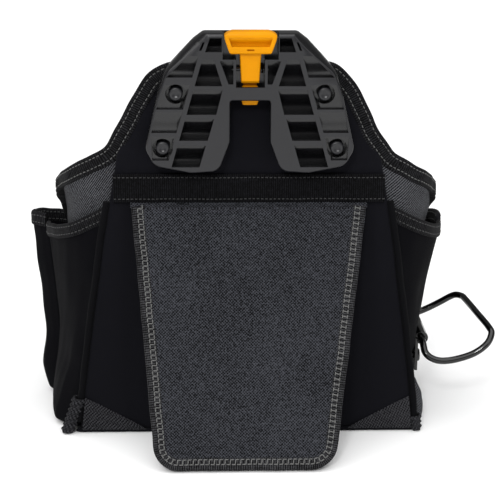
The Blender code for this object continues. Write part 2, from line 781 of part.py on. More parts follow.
def make_hub():
    hub = plate("hub_plate", "hub_plastic", [hub_outline()], HUB_FACE_Y, HUB_BACK_Y)
    floor = HUB_BACK_Y - HUB_FLOOR
    plate_y = REAR_Y + BACK_T + 1.0
    tail_y = plate_y + 2.0 + GAP
    cutters, holes = [], []
    for side, label in ((-1, "left"), (1, "right")):
        cutters += hub_cells(side)
        for height, (x, z) in zip(("upper", "lower"), RIVETS):
            x *= side
            recess = (x, HUB_FACE_Y - 2, z), (x, floor, z)
            cutters.append(rod(f"rivet_pocket_{label}_{height}", None, *recess, RIVET_POCKET_R))
            cutters.append(drill(f"rivet_hole_{label}_{height}", (x, floor, z), "Y", RIVET_SHANK_R + GAP))
            holes.append(drill(f"backing_hole_{label}_{height}", (x, plate_y, z), "Y", RIVET_SHANK_R + GAP))
            place = Vector((x, 0, z))
            make_rivet(f"{label}_{height}_hub_rivet", place, Vector((0, 1, 0)), floor - GAP, 10.2, tail_y)
    cut(hub, cutters + lever_cutters(floor))
    backing = rounded([(66, 205, 6), (58, 258, 6), (-58, 258, 6), (-66, 205, 6)])
    cut(plate("hub_backing_plate", "hub_plastic", [backing], plate_y, plate_y + 2.0), holes)


def make_rivet(name, place, axis, head_at, head_height, tail_at):
    """A rivet along an axis: its head ends at head_at, its shank runs on, and its tail flange starts at
    tail_at."""
    sign = axis.x + axis.y
    crown = 0.7
    stations = (
        (head_at - sign * head_height, RIVET_HEAD_R - crown),
        (head_at - sign * (head_height - crown), RIVET_HEAD_R),
        (head_at, RIVET_HEAD_R), (head_at, RIVET_SHANK_R), (tail_at, RIVET_SHANK_R),
        (tail_at, RIVET_HEAD_R), (tail_at + sign * 1.4, RIVET_HEAD_R),
    )
    side_axis = Vector((0, 0, 1)).cross(axis)
    rings = []
    for along, radius in stations:
        centre = place + axis * (along * sign)
        ring = []
        for k in range(18):
            angle = 2 * math.pi * k / 18
            across = side_axis * math.cos(angle) + Vector((0, 0, math.sin(angle)))
            ring.append(centre + across * radius)
        rings.append(ring)
    return loft(name, "hub_plastic" if abs(axis.y) > 0.5 else "steel", rings)


def make_latch():
    """The lever, modelled about its pin, the pin, and the torsion spring beside the stem."""
    pivot = bpy.data.objects.new("latch_pivot", None)
    PARTS.objects.link(pivot)
    pivot.location = (0, PIN_Y * MM, PIN_Z * MM)
    stations = (  # height above the pin, half-width, rear side, pouch side
        (-23.7, 4.8, -0.2, 2.0), (-19.6, STEM_HALF, -1.6, 2.6), (-9.4, STEM_HALF, -1.6, 2.6),
        (-8.4, 5.7, -4.6, 2.6), (8.6, 6.3, -5.4, 2.6), (9.0, 13.7, -8.6, 1.4),
        (21.5, 17.2, -10.0, 1.4), (24.0, 17.2, -10.0, 1.4), (26.4, 11.6, -9.2, 0.6),
    )
    rings = [
        [(-half, rear, z), (half, rear, z), (half, near, z), (-half, near, z)]
        for z, half, rear, near in stations
    ]
    lever = loft("latch_lever", "latch_plastic", rings, pivot)
    thumb = rod("thumb_scoop", None, (-15.5, -16.2, 18.5), (15.5, -16.2, 18.5), 9.0, sides=32, parent=pivot)
    bore = rod("lever_bore", None, (-9, 0, 0), (9, 0, 0), PIN_R + 0.05, sides=16, parent=pivot)
    cut(lever, [thumb, bore])
    bevel(lever, 0.5)
    rod("latch_pin", "steel", (-CHEEK_X - 2.8, PIN_Y, PIN_Z), (CHEEK_X + 2.8, PIN_Y, PIN_Z), PIN_R, sides=16)
    turns, wire, radius = 2.5, 0.45, 2.5
    coil = []
    for k in range(int(turns * 14) + 1):
        angle = 2 * math.pi * k / 14
        coil.append((6.8 + 0.92 * k / 14, PIN_Y + radius * math.cos(angle), PIN_Z + radius * math.sin(angle)))
    tube("latch_spring", "steel", coil, wire, resolution=1)


# ---- hammer loop --------------------------------------------------------------------------------


def make_hammer_loop():
    route = (
        (BARREL_X, -7.0, BARREL_Z), (BARREL_X, -24.0, BARREL_Z), (BARREL_X, -31.5, BARREL_Z - 1.4),
        (131.2, -36.8, BARREL_Z - 6.0), (135.4, -38.8, 48.4), (142.4, -39.4, 46.4), (153.0, -39.4, 47.4),
        (165.4, -39.0, 51.6), (174.2, -37.2, 57.6), (178.4, -31.0, 62.6), (177.6, -23.0, 65.0),
        (172.5, 0.0, 67.4), (167.4, 24.0, 70.0), (165.4, 31.4, 70.6), (160.8, 36.6, 69.8),
        (152.4, 38.6, 64.9), (144.0, 38.8, 60.4), (137.4, 38.0, 57.8), (132.0, 34.6, 57.4),
        (BARREL_X, 29.6, BARREL_Z), (BARREL_X, 24.0, BARREL_Z), (BARREL_X, 7.0, BARREL_Z),
    )
    pivot = bpy.data.objects.new("hammer_loop_pivot", None)
    PARTS.objects.link(pivot)
    pivot.location = (BARREL_X * MM, 0, BARREL_Z * MM)
    centred = [Vector(p) - Vector((BARREL_X, 0, BARREL_Z)) for p in route]
    tube("hammer_loop", "dark_steel", smooth(centred, per_span=3), WIRE_R, parent=pivot)
    make_loop_bracket()


def make_loop_bracket():
    """The plate with the barrel that the loop swings in, its two rivets and the plate inside the wall."""
    bracket = block(
        "loop_bracket", "dark_steel",
        (PLATE_X, -BARREL_HALF - 2, PLATE_LOW), (PLATE_X + PLATE_T, BARREL_HALF + 2, BARREL_Z),
    )
    ends = (BARREL_X, -BARREL_HALF, BARREL_Z), (BARREL_X, BARREL_HALF, BARREL_Z)
    join(bracket, [rod("bracket_barrel", None, *ends, BARREL_R)])
    inner_x = PLATE_X - 6.0
    backing = block("loop_backing_plate", "steel", (inner_x - 2.0, -22, 34), (inner_x, 22, 50))
    cutters = [drill("barrel_bore", (BARREL_X, 0, BARREL_Z), "Y", WIRE_R + 0.25, reach=BARREL_HALF + 3)]
    holes = []
    for i, y in enumerate(LOOP_RIVETS_Y):
        place = Vector((0, y, LOOP_RIVET_Z))
        head_x, tail_x = PLATE_X + PLATE_T + GAP, inner_x - 2.0 - GAP
        make_rivet(f"loop_rivet_{i + 1}", place, Vector((-1, 0, 0)), head_x, 2.2, tail_x)
        size = {"along": "X", "radius": RIVET_SHANK_R + GAP, "reach": 4}
        cutters.append(drill(f"bracket_hole_{i}", (PLATE_X, y, LOOP_RIVET_Z), **size))
        holes.append(drill(f"backing_hole_{i}", (inner_x, y, LOOP_RIVET_Z), **size))
    cut(bracket, cutters)
    cut(backing, holes)


make_back_panel()
make_side_walls()
make_front_wall()
make_base()
make_rim_bindings()
make_seams()
make_side_pockets()
make_front_pockets()
make_kickstand()
make_hub()
make_latch()
make_hammer_loop()
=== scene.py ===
"""Looks of the electrician's tool pouch: sewn nylon, webbing, moulded plastic and black wire, built round the
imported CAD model. Lengths are in millimetres and the helpers turn them into metres. +Z is up, the rear with the
hub and the kickstand faces -Y, and +X is on the right of someone looking at the rear."""

import math

import bmesh
import bpy
import numpy as np
from mathutils import Matrix, Vector


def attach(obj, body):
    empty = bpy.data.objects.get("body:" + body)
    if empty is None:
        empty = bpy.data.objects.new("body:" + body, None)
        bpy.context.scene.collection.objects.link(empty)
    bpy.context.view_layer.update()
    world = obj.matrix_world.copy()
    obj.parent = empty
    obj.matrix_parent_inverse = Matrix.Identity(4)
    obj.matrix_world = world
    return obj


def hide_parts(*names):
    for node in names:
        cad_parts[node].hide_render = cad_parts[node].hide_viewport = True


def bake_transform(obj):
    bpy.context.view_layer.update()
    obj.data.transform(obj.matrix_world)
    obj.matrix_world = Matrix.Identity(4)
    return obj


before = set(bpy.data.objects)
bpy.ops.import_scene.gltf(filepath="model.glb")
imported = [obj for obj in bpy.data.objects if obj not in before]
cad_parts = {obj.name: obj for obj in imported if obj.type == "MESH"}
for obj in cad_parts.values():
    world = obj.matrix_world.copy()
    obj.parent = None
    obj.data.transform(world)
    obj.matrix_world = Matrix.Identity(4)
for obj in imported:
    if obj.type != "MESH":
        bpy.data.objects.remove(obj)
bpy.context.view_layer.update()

MM = 0.001
SCENE = bpy.context.scene

# ---- driving sizes, as in the CAD model ------------------------------------------------------------

REAR_Y, BACK_T, WALL_T = -60.0, 3.7, 2.5
FLOOR_Z = 3.6
SEAM_FOOT_X, SEAM_BAND_X, SEAM_BAND_Z = 125.0, 96.0, 172.0
FLARE_TOP_Z = 180.0
SIDE_FOOT = ((124.0, -25.0), (124.0, 25.0), (119.0, 58.0))
SIDE_TOP = ((149.0, -50.0), (139.0, 10.0), (117.0, 60.0))
SEAM_Y = -56.0
SEAM_PULL_Z, SEAM_PULL = (0.0, 27.0, 50.0, 150.0), (5.5, 3.8, 2.6, 0.0)
WALL_FOOT_Z, SHOULDER_Z = 3.4, 206.0
FRONT_BULGE, CORNER_INSET = 7.0, 3.4
RIM_W, RIM_T = 12.0, 5.0
BACK_RIM = (
    (0, 272.5), (28, 272.5), (44, 272.3), (57, 270), (67.5, 264),
    (75.5, 254.4), (81.5, 242.8), (88, 230), (94, 220.5),
)
SIDE_RIM_T = (0.0, 0.1, 0.2, 0.3, 0.4, 0.47, 0.50, 0.55, 0.62, 0.80, 1.0)
SIDE_RIM_Z = (217.0, 206.5, 199.5, 193.0, 187.0, 182.5, 178.0, 168.0, 158.0, 148.0, 143.0)
EAR_T, FRONT_RIM_DROP = 0.5, 5.0
RIGHT_SETTLE, UNDER_RIM = 4.0, 5.5
GUARD_T = 0.9
TAPE_ROWS, RIM_STITCH_PITCH, RIM_STITCH_R = (0.24, 0.76), 3.3, 0.36
POCKET_T, TAPE_W, TAPE_T, POCKET_LIFT = 2.3, 10.0, 3.6, 3.4
REAR_SPAN, TUBE_SPAN = (0.016, 0.55), (0.57, 0.90)
HINGE_Y, HINGE_Z, KICK_LEAN = -61.6, 172.4, math.radians(20.3)
KICK_LENGTH, KICK_TOP_HALF, KICK_FOOT_HALF, KICK_CORNER = 183.3, 81.5, 61.5, 15.0
KICK_NEAR, KICK_FAR, KICK_SKEW = 1.2, -4.8, 0.019
KICK_TAPE_W, LADDER_ROWS, LADDER_PITCH = 9.2, (0.47, 0.83), 3.6
BAND_HALF, BAND_TOP_Z, BAND_W, BAND_T, BAND_ROWS = 93.8, 193.4, 20.0, 2.1, (0.12, 0.88)
BAND_MIDDLE_Z = BAND_TOP_Z - BAND_W / 2
HUB_BACK_Y, HUB_FACE_Y, HUB_TOP_Z, HUB_SLOT_HALF = -61.0, -76.0, 292.5, 13.4
CROSSBAR_LOW, CROSSBAR_HIGH = 247.0, 256.2
RIVETS, PEG_RECESS_R, LEVER_WELL = ((50.0, 251.5), (59.0, 214.5)), 6.9, 9.6
PIN_Y, PIN_Z = -68.0, 267.5
BARREL_X, BARREL_Z, WIRE_R = 130.2, 58.0, 2.5


# ---- materials --------------------------------------------------------------------------------------


class Shader:
    """A Principled material and short calls for the nodes that feed it."""

    def __init__(self, name, roughness, **constants):
        self.material = bpy.data.materials.new(name)
        self.material.use_nodes = True
        self.tree = self.material.node_tree
        self.bsdf = self.tree.nodes["Principled BSDF"]
        self.bsdf.inputs["Roughness"].default_value = roughness
        for socket, value in constants.items():
            self.bsdf.inputs[socket.replace("_", " ")].default_value = value

    def node(self, kind):
        return self.tree.nodes.new("ShaderNode" + kind)

    def link(self, output, socket):
        self.tree.links.new(output, socket)

    def put(self, socket, value):
        if isinstance(value, (int, float, tuple)):
            socket.default_value = value
        else:
            self.link(value, socket)

    def math(self, operation, a, b=0.0, c=0.0):
        node = self.node("Math")
        node.operation = operation
        for socket, value in zip(node.inputs, (a, b, c)):
            self.put(socket, value)
        return node.outputs[0]

    def noise(self, scale, detail=3.0, stretch=(1, 1, 1), roughness=0.5):
        """Noise in object space. Scale is in waves to the metre."""
        node = self.node("TexNoise")
        node.inputs["Scale"].default_value = scale
        node.inputs["Detail"].default_value = detail
        node.inputs["Roughness"].default_value = roughness
        mapping = self.node("Mapping")
        mapping.inputs["Scale"].default_value = stretch
        place = self.node("TexCoord")
        self.link(place.outputs["Object"], mapping.inputs["Vector"])
        self.link(mapping.outputs["Vector"], node.inputs["Vector"])
        return node.outputs["Fac"]

    def cloth(self):
        """Where a point lies on its flat cloth, in millimetres along and across."""
        node = self.node("Attribute")
        node.attribute_name = "cloth"
        split = self.node("SeparateXYZ")
        self.link(node.outputs["Vector"], split.inputs[0])
        return split.outputs[0], split.outputs[1]

    def wave(self, along, pitch):
        return self.math("SINE", self.math("MULTIPLY", along, 2 * math.pi / pitch))

    def ramp(self, value, *stops):
        node = self.node("ValToRGB")
        ramp = node.color_ramp
        while len(ramp.elements) < len(stops):
            ramp.elements.new(0.5)
        for element, (place, colour) in zip(ramp.elements, stops):
            element.position = place
            element.color = (*colour, 1.0)
        self.put(node.inputs["Fac"], value)
        self.link(node.outputs["Color"], self.bsdf.inputs["Base Color"])

    def rough(self, value, low, high):
        node = self.node("MapRange")
        node.inputs["To Min"].default_value = low
        node.inputs["To Max"].default_value = high
        self.put(node.inputs["Value"], value)
        self.link(node.outputs["Result"], self.bsdf.inputs["Roughness"])

    def bump(self, height, depth, strength=1.0):
        """Raises the surface by up to `depth` millimetres."""
        node = self.node("Bump")
        node.inputs["Distance"].default_value = depth * MM
        node.inputs["Strength"].default_value = strength
        self.put(node.inputs["Height"], height)
        self.link(node.outputs["Normal"], self.bsdf.inputs["Normal"])


def shade(colour, factor):
    """The colour made lighter or darker."""
    return tuple(channel * factor for channel in colour)


def woven(name, colour, pitch, contrast=0.35, depth=0.15, patch=0.18, sheen=0.02):
    """Plain-woven cloth: crossing yarns, uneven fading and a faint sheen."""
    s = Shader(name, 0.9, Specular_IOR_Level=0.06, Sheen_Weight=sheen, Sheen_Roughness=0.45)
    u, v = s.cloth()
    yarns = s.math("MULTIPLY", s.wave(u, pitch), s.wave(v, pitch))
    worn = s.noise(26.0, 4.0)
    fuzz = s.noise(1400.0, 2.0)
    height = s.math("MULTIPLY_ADD", yarns, 0.5, 0.5)
    tone = s.math("MULTIPLY_ADD", height, contrast, s.math("MULTIPLY", worn, patch * 2))
    tone = s.math("MULTIPLY_ADD", fuzz, 0.3, tone)
    s.ramp(tone, (0.1, shade(colour, 0.55)), (0.45, colour), (0.95, shade(colour, 1.7)))
    s.rough(worn, 0.82, 0.98)
    s.bump(s.math("MULTIPLY_ADD", fuzz, 0.5, height), depth)
    return s.material


def twill(name, dark, light, pitch, depth, basket, slope=1.0, fleck=0.3, grain=1100.0):
    """Coarse weave in two yarn colours: diagonal ribs, or as `basket` goes to 1 a chequer of crossing yarns."""
    s = Shader(name, 0.88, Specular_IOR_Level=0.08, Sheen_Weight=0.03, Sheen_Roughness=0.4)
    u, v = s.cloth()
    rib = s.wave(s.math("MULTIPLY_ADD", v, -slope, u), pitch)
    yarns = s.math("MULTIPLY", s.wave(u, pitch), s.wave(v, pitch))
    height = s.math("MULTIPLY_ADD", rib, 0.5 * (1 - basket), s.math("MULTIPLY_ADD", yarns, 0.5 * basket, 0.5))
    flecks = s.noise(grain, 2.0, roughness=0.7)
    worn = s.noise(22.0, 4.0)
    tone = s.math("MULTIPLY_ADD", flecks, fleck * 2, s.math("MULTIPLY", height, 0.45))
    tone = s.math("MULTIPLY_ADD", worn, 0.16, tone)
    middle = 0.305 + fleck
    mid = tuple((a + b) * 0.42 for a, b in zip(dark, light))
    s.ramp(tone, (middle - 0.14, dark), (middle, mid), (middle + 0.17, light))
    s.rough(worn, 0.8, 0.96)
    s.bump(s.math("MULTIPLY_ADD", flecks, 0.3, height), depth)
    return s.material


def ribbed_tape(name, colour, pitch):
    """Webbing: ribs across the tape, a finer rib along it, and scuffs with bright speckles. Rib tops and speckles
    are painted highlights, the grooves painted shade.
    """
    s = Shader(name, 0.85, Specular_IOR_Level=0.08, Sheen_Weight=0.02, Sheen_Roughness=0.4)
    u, v = s.cloth()
    ribs = s.wave(u, pitch)
    lines = s.wave(v, pitch * 0.75)
    height = s.math("MULTIPLY_ADD", lines, 0.12, s.math("MULTIPLY_ADD", ribs, 0.35, 0.5))
    scuffs_and_glints = s.noise(420.0, 4.0, roughness=0.7)
    worn = s.noise(30.0)
    tone = s.math("MULTIPLY_ADD", scuffs_and_glints, 0.7, s.math("MULTIPLY", height, 0.4))
    tone = s.math("MULTIPLY_ADD", worn, 0.25, tone)
    # Rib tops and speckles lighter, up to five times the colour, as painted highlights; grooves darker as painted
    # shade.
    s.ramp(tone, (0.50, shade(colour, 0.2)), (0.67, colour), (0.86, shade(colour, 5.0)))
    s.rough(worn, 0.75, 0.95)
    s.bump(height, 0.3)
    return s.material


def moulded(name, colour, roughness, grain=0.03, specular=0.5):
    """Injection-moulded plastic: fine spark-eroded grain and slight gloss changes."""
    s = Shader(name, roughness, Specular_IOR_Level=specular)
    fine = s.noise(2200.0, 2.0)
    broad = s.noise(34.0, 4.0)
    tone = s.math("MULTIPLY_ADD", fine, 0.2, s.math("MULTIPLY", broad, 0.8))
    s.ramp(tone, (0.2, shade(colour, 0.82)), (0.8, shade(colour, 1.15)))
    s.rough(broad, roughness - 0.06, roughness + 0.08)
    s.bump(fine, grain)
    return s.material


def metal(name, colour, roughness, metallic):
    """Wire and plate with fine lengthwise scratches. Coated wire has no metallic share."""
    s = Shader(name, roughness, Metallic=metallic)
    scratches = s.noise(160.0, 5.0, stretch=(1, 7, 1), roughness=0.65)
    s.ramp(scratches, (0.25, shade(colour, 0.75)), (0.75, shade(colour, 1.2)))
    s.rough(scratches, roughness * 0.8, roughness * 1.35)
    s.bump(scratches, 0.02, 0.5)
    return s.material


def thread(name, colour):
    """Polyester thread, lighter where its twist catches the light."""
    s = Shader(name, 0.7, Specular_IOR_Level=0.25, Sheen_Weight=0.2)
    twist = s.noise(1800.0, 2.0)
    s.ramp(twist, (0.3, shade(colour, 0.6)), (0.7, shade(colour, 1.25)))
    s.bump(twist, 0.06)
    return s.material


POCKET = woven("pocket_nylon", (0.0019, 0.0019, 0.0028), 0.9, contrast=0.25, patch=0.12, sheen=0.004)
BLACK = woven("ballistic_nylon", (0.0040, 0.0040, 0.0056), 0.9)
LINING = woven("lining_nylon", (0.008, 0.008, 0.009), 1.3, depth=0.08)
GREY = twill(
    "grey_gusset_weave", (0.0025, 0.0025, 0.0030), (0.090, 0.092, 0.101), 2.3, 0.45, 0.3, fleck=0.4,
)
GUARD = twill("guard_weave", (0.002, 0.002, 0.003), (0.040, 0.040, 0.044), 2.3, 0.4, 0.6, slope=0.6)
CANVAS = twill(
    "kickstand_twill", (0.0006, 0.0006, 0.0009), (0.045, 0.047, 0.055), 2.1, 0.3, 0.85, fleck=0.5, grain=880.0,
)
WEBBING = ribbed_tape("black_webbing", (0.0012, 0.0012, 0.0015), 1.5)
BINDING = ribbed_tape("binding_tape", (0.0032, 0.0032, 0.0036), 1.6)
KICK_BINDING = ribbed_tape("kickstand_binding_tape", (0.0095, 0.0095, 0.0102), 1.6)
PIPING = woven("piping_cover", (0.0022, 0.0022, 0.0028), 0.8, depth=0.08, sheen=0.01)
HUB = moulded("hub_nylon", (0.0098, 0.0098, 0.0116), 0.3, specular=0.42)
# Glossier copy of the hub plastic for its cells, recesses and shoulders. Its gloss is real, but its darker colour
# is painted shade.
HUB_SHADED_GLOSS = moulded("hub_gloss_painted_shade", (0.0055, 0.0055, 0.0062), 0.2, grain=0.006)
ORANGE = moulded("latch_acetal", (0.63, 0.243, 0.0003), 0.4, grain=0.015, specular=0.08)
WIRE = metal("black_coated_wire", (0.0012, 0.0012, 0.0012), 0.09, 0.0)
STEEL = metal("zinc_steel", (0.42, 0.42, 0.43), 0.34, 1.0)
BOARD = moulded("stiffener_board", (0.011, 0.011, 0.0115), 0.55)
PALE_THREAD = thread("pale_thread", (0.085, 0.085, 0.082))
LADDER_THREAD = thread("ladder_thread", (0.115, 0.115, 0.112))
DIM_THREAD = thread("dim_thread", (0.026, 0.026, 0.026))


# ---- mesh helpers -----------------------------------------------------------------------------------


def unit(vectors):
    return vectors / np.maximum(np.linalg.norm(vectors, axis=-1, keepdims=True), 1e-9)


def new_object(name, points, faces, material, cloth=None, angle=40):
    """A smooth-shaded mesh object from points in millimetres."""
    mesh = bpy.data.meshes.new(name)
    mesh.from_pydata((np.asarray(points) * MM).tolist(), [], [list(map(int, face)) for face in faces])
    if cloth is not None:
        layer = mesh.attributes.new("cloth", "FLOAT_VECTOR", "POINT")
        layer.data.foreach_set("vector", np.asarray(cloth, np.float32).ravel())
    mesh.shade_smooth()
    mesh.set_sharp_from_angle(angle=math.radians(angle))
    obj = bpy.data.objects.new(name, mesh)
    SCENE.collection.objects.link(obj)
    mesh.materials.append(material)
    return obj


def place(obj, body, slot, *nodes):
    """Rides the piece on its body and hides the CAD nodes that it stands for. The slot is not used."""
    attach(obj, body)
    if nodes:
        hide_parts(*nodes)


def make_outward(obj):
    bm = bmesh.new()
    bm.from_mesh(obj.data)
    bmesh.ops.recalc_face_normals(bm, faces=bm.faces)
    bm.to_mesh(obj.data)
    bm.free()


def loft(name, rings, material, cloth=None, angle=40, closed=False):
    """A closed mesh through rings with the same number of points. The ends are capped, or the last ring is joined
    to the first."""
    rings = np.asarray(rings, float)
    index = np.arange(rings[..., 0].size).reshape(rings.shape[:2])
    caps = [] if closed else [index[0][::-1].tolist(), index[-1].tolist()]
    if closed:
        index = np.concatenate([index, index[:1]])
    ahead = np.roll(index, -1, axis=1)
    quads = np.stack([index[:-1], ahead[:-1], ahead[1:], index[1:]], -1).reshape(-1, 4).tolist()
    obj = new_object(name, rings.reshape(-1, 3), quads + caps, material, cloth, angle)
    make_outward(obj)
    return obj


def distances(points):
    """Distance along the first axis of an array of points, from its start."""
    steps = np.linalg.norm(np.diff(points, axis=0), axis=-1)
    return np.concatenate([np.zeros((1, *steps.shape[1:])), np.cumsum(steps, axis=0)])


def run_length(points):
    """The same distance, from the middle."""
    total = distances(points)
    return total - total[len(total) // 2]


def at_distance(at, length, points):
    """Points of a line at the distances `at`, where `length` is the distance of each of its own points."""
    return np.stack([np.interp(at, length, column) for column in points.T], -1)


def grid_normals(grid):
    return unit(np.cross(np.gradient(grid, axis=1), np.gradient(grid, axis=0)))


def ring_of(rows, columns):
    """Indices round the edge of a grid, anticlockwise seen from outside."""
    index = np.arange(rows * columns).reshape(rows, columns)
    return np.concatenate([index[0, :-1], index[:-1, -1], index[-1, :0:-1], index[:0:-1, 0]])


EDGE_ROLL = 0.45  # how far a rolled edge reaches, as a share of the cloth's thickness


def shell(name, outer, thickness, material, lining=None, flat=None):
    """A closed sheet of cloth, grown inwards from a grid of points on its outer face, with a rolled edge. Rows
    run up and columns anticlockwise seen from above. `flat` is where each point lies on the flat cloth."""
    rows, columns = outer.shape[:2]
    normals = grid_normals(outer)
    inner = outer - normals * thickness
    index = np.arange(rows * columns).reshape(rows, columns)
    quads = np.stack([index[:-1, :-1], index[:-1, 1:], index[1:, 1:], index[1:, :-1]], -1).reshape(-1, 4)
    count = rows * columns
    edge = ring_of(rows, columns)
    flat_outer, flat_inner = outer.reshape(-1, 3), inner.reshape(-1, 3)
    inside = np.clip(np.stack(np.divmod(edge, columns), -1), 1, (rows - 2, columns - 2))
    away = unit(flat_outer[edge] - outer[inside[:, 0], inside[:, 1]])
    middle = (flat_outer[edge] + flat_inner[edge]) / 2 + away * thickness * EDGE_ROLL
    points = np.concatenate([flat_outer, flat_inner, middle])
    mid = 2 * count + np.arange(len(edge))
    ahead, mid_ahead = np.roll(edge, -1), np.roll(mid, -1)
    faces = np.concatenate([
        quads, quads[:, ::-1] + count,
        np.stack([edge, mid, mid_ahead, ahead], -1),
        np.stack([mid, edge + count, ahead + count, mid_ahead], -1),
    ])
    if flat is None:
        u, v = run_length(outer.transpose(1, 0, 2)).T, run_length(outer)
        flat = np.stack([u, v, np.zeros_like(u)], -1)
    sheet = flat.reshape(-1, 3)
    obj = new_object(name, points, faces, material, np.concatenate([sheet, sheet, sheet[edge]]), angle=70)
    if lining is not None:
        obj.data.materials.append(lining)
        for polygon in obj.data.polygons[len(quads):2 * len(quads)]:
            polygon.material_index = 1
    return obj


def tape_section(rows, flat):
    """Section of a tape as (share of the half thickness, share of the width): a folded tape has a rounded fold at
    its rim, a flat one has two edges, and both dip where the rows of stitches pull them down."""
    d = np.concatenate([[1.0, 0.985], np.linspace(0.955, 0.10, 19), [0.05, 0.015]])
    n = np.minimum(1.0, 0.72 + (1 - d) * 5)
    fold = 0.09 if flat else 0.2
    n = n * np.sqrt(np.clip(1 - np.clip(1 - d / fold, 0, 1) ** 2, 0.0, 1))
    for row in rows:
        n = n - 0.16 * np.exp(-(((d - row) / 0.055) ** 2))
    side = np.stack([n, d], -1)
    return np.concatenate([side, [[0.0, 0.0]], side[::-1] * (-1, 1)])


def tape(name, path, width, thickness, material, rows=TAPE_ROWS, flat=False):
    """A tape along stations of (point, outward normal, direction across). Its thickness may vary from station to
    station."""
    points, normals, down = path
    half = np.broadcast_to(thickness, len(points))[:, None] / 2
    n, d = tape_section(rows, flat).T
    rings = points[:, None] + normals[:, None] * (half * n)[..., None] + down[:, None] * (width * d)[:, None]
    cloth = np.zeros_like(rings)
    cloth[..., 0] = run_length(points)[:, None]
    cloth[..., 1] = width * d * np.where(n < 0, -1, 1)
    return loft(name, rings, material, cloth, angle=60)


def resample(path, step):
    """The stations of a path at an even spacing."""
    length = distances(path[0])
    at = np.linspace(0, length[-1], max(2, int(round(length[-1] / step)) + 1))
    points, normals, down = (at_distance(at, length, part) for part in path)
    return points, unit(normals), unit(down)


def row_on(path, across, lift, width, side=1):
    """The line of a stitch row on one face of a tape: `across` is the share of the width."""
    points, normals, down = path
    return points + down * across * width + normals * lift * side, normals * side


def dashes(line, normals, pitch, fill=0.66, turn=0.0):
    """Centres, directions, normals and lengths of a row of stitches along a line. `turn` slants each one, in
    radians."""
    length = distances(line)
    at = np.arange(pitch * 0.5, length[-1], pitch)
    centre, ahead, behind = (at_distance(at + nudge, length, line) for nudge in (0.0, 0.5, -0.5))
    normal = unit(at_distance(at, length, normals))
    along = unit(ahead - behind)
    across = unit(np.cross(normal, along))
    return centre, along * math.cos(turn) + across * math.sin(turn), normal, np.full(len(at), pitch * fill)


STITCH_RINGS = ((-0.5, 0.45, -1.0), (-0.36, 0.95, -0.1), (0.0, 1.0, 0.35), (0.36, 0.95, -0.1), (0.5, 0.45, -1.0))
STITCH_SIDES = 5


def stitches(name, rows, radius, material):
    """Every stitch is a short arched length of thread that dips into the cloth at both ends."""
    rows = [row for row in rows if len(row[0])]
    centre, along, normal = (np.concatenate([row[k] for row in rows]) for k in range(3))
    length = np.concatenate([row[3] for row in rows])
    across = np.cross(normal, along)
    points = []
    for x, size, lift in STITCH_RINGS:
        for k in range(STITCH_SIDES):
            angle = 2 * math.pi * k / STITCH_SIDES
            points.append(
                centre + along * (length * x)[:, None]
                + across * (radius * size * math.cos(angle))
                + normal * (radius * (size * math.sin(angle) + lift))
            )
    points = np.stack(points, 1)
    per = points.shape[1]
    base = np.arange(per).reshape(-1, STITCH_SIDES)
    ahead = np.roll(base, -1, axis=1)
    quads = np.stack([base[:-1], ahead[:-1], ahead[1:], base[1:]], -1).reshape(-1, 4)
    faces = []
    for k in range(len(centre)):
        start = k * per
        faces += (quads + start).tolist()
        faces.append((base[0][::-1] + start).tolist())
        faces.append((base[-1] + start).tolist())
    return new_object(name, points.reshape(-1, 3), faces, material, angle=80)


def ripples(seed, a, b, shortest, longest, waves=7):
    """Soft uneven folds over two coordinates in millimetres, from about -1 to 1."""
    rng = np.random.default_rng(seed)
    total = np.zeros(np.broadcast(a, b).shape)
    for _ in range(waves):
        length = rng.uniform(shortest, longest)
        heading, phase = rng.uniform(0, 2 * math.pi, 2)
        total = total + np.sin(2 * math.pi * (a * math.cos(heading) + b * math.sin(heading)) / length + phase)
    return total / math.sqrt(waves * 2)


def mirror_x(points):
    return points * np.array((-1.0, 1.0, 1.0))


def smooth_curve(points, per_span):
    """A Catmull-Rom curve through the points."""
    points = np.array(points, float)
    padded = np.concatenate([[2 * points[0] - points[1]], points, [2 * points[-1] - points[-2]]])
    path = []
    for a, b, c, d in zip(padded, padded[1:], padded[2:], padded[3:]):
        for s in np.arange(per_span) / per_span:
            bend = (2 * a - 5 * b + 4 * c - d) * s**2 + (3 * b - a - 3 * c + d) * s**3
            path.append((2 * b + (c - a) * s + bend) / 2)
    return np.array(path + [points[-1]])


def tube(name, points, radius, material, sides=14):
    """A round tube along points. The radius may vary along it."""
    points = np.asarray(points, float)
    along = unit(np.gradient(points, axis=0))
    first = unit(np.cross(along, np.where(abs(along[:, 2:3]) > 0.9, (1.0, 0.0, 0.0), (0.0, 0.0, 1.0))))
    for k in range(1, len(first)):  # carry the first direction along, so that the tube doesn't twist
        first[k] = first[k - 1] - along[k] * (first[k - 1] @ along[k])
        first[k] /= np.linalg.norm(first[k])
    second = np.cross(along, first)
    radius = np.broadcast_to(radius, len(points))[:, None, None]
    angle = np.linspace(0, 2 * math.pi, sides, endpoint=False)[None, :, None]
    rings = points[:, None] + radius * (np.cos(angle) * first[:, None] + np.sin(angle) * second[:, None])
    cloth = np.zeros_like(rings)
    cloth[..., 0] = run_length(points)[:, None]
    cloth[..., 1] = angle[..., 0] * radius[..., 0]
    return loft(name, rings, material, cloth, angle=60)


# ---- the body's walls ---------------------------------------------------------------------------------


def seam_pull(z):
    """How far the guards pull the seam in, near its foot."""
    return np.interp(z, SEAM_PULL_Z, SEAM_PULL)


def seam_x(z):
    """Half-width of the back panel, where the rear piping runs."""
    slope = (SEAM_BAND_X - SEAM_FOOT_X) / SEAM_BAND_Z
    return SEAM_FOOT_X + slope * z - seam_pull(z)


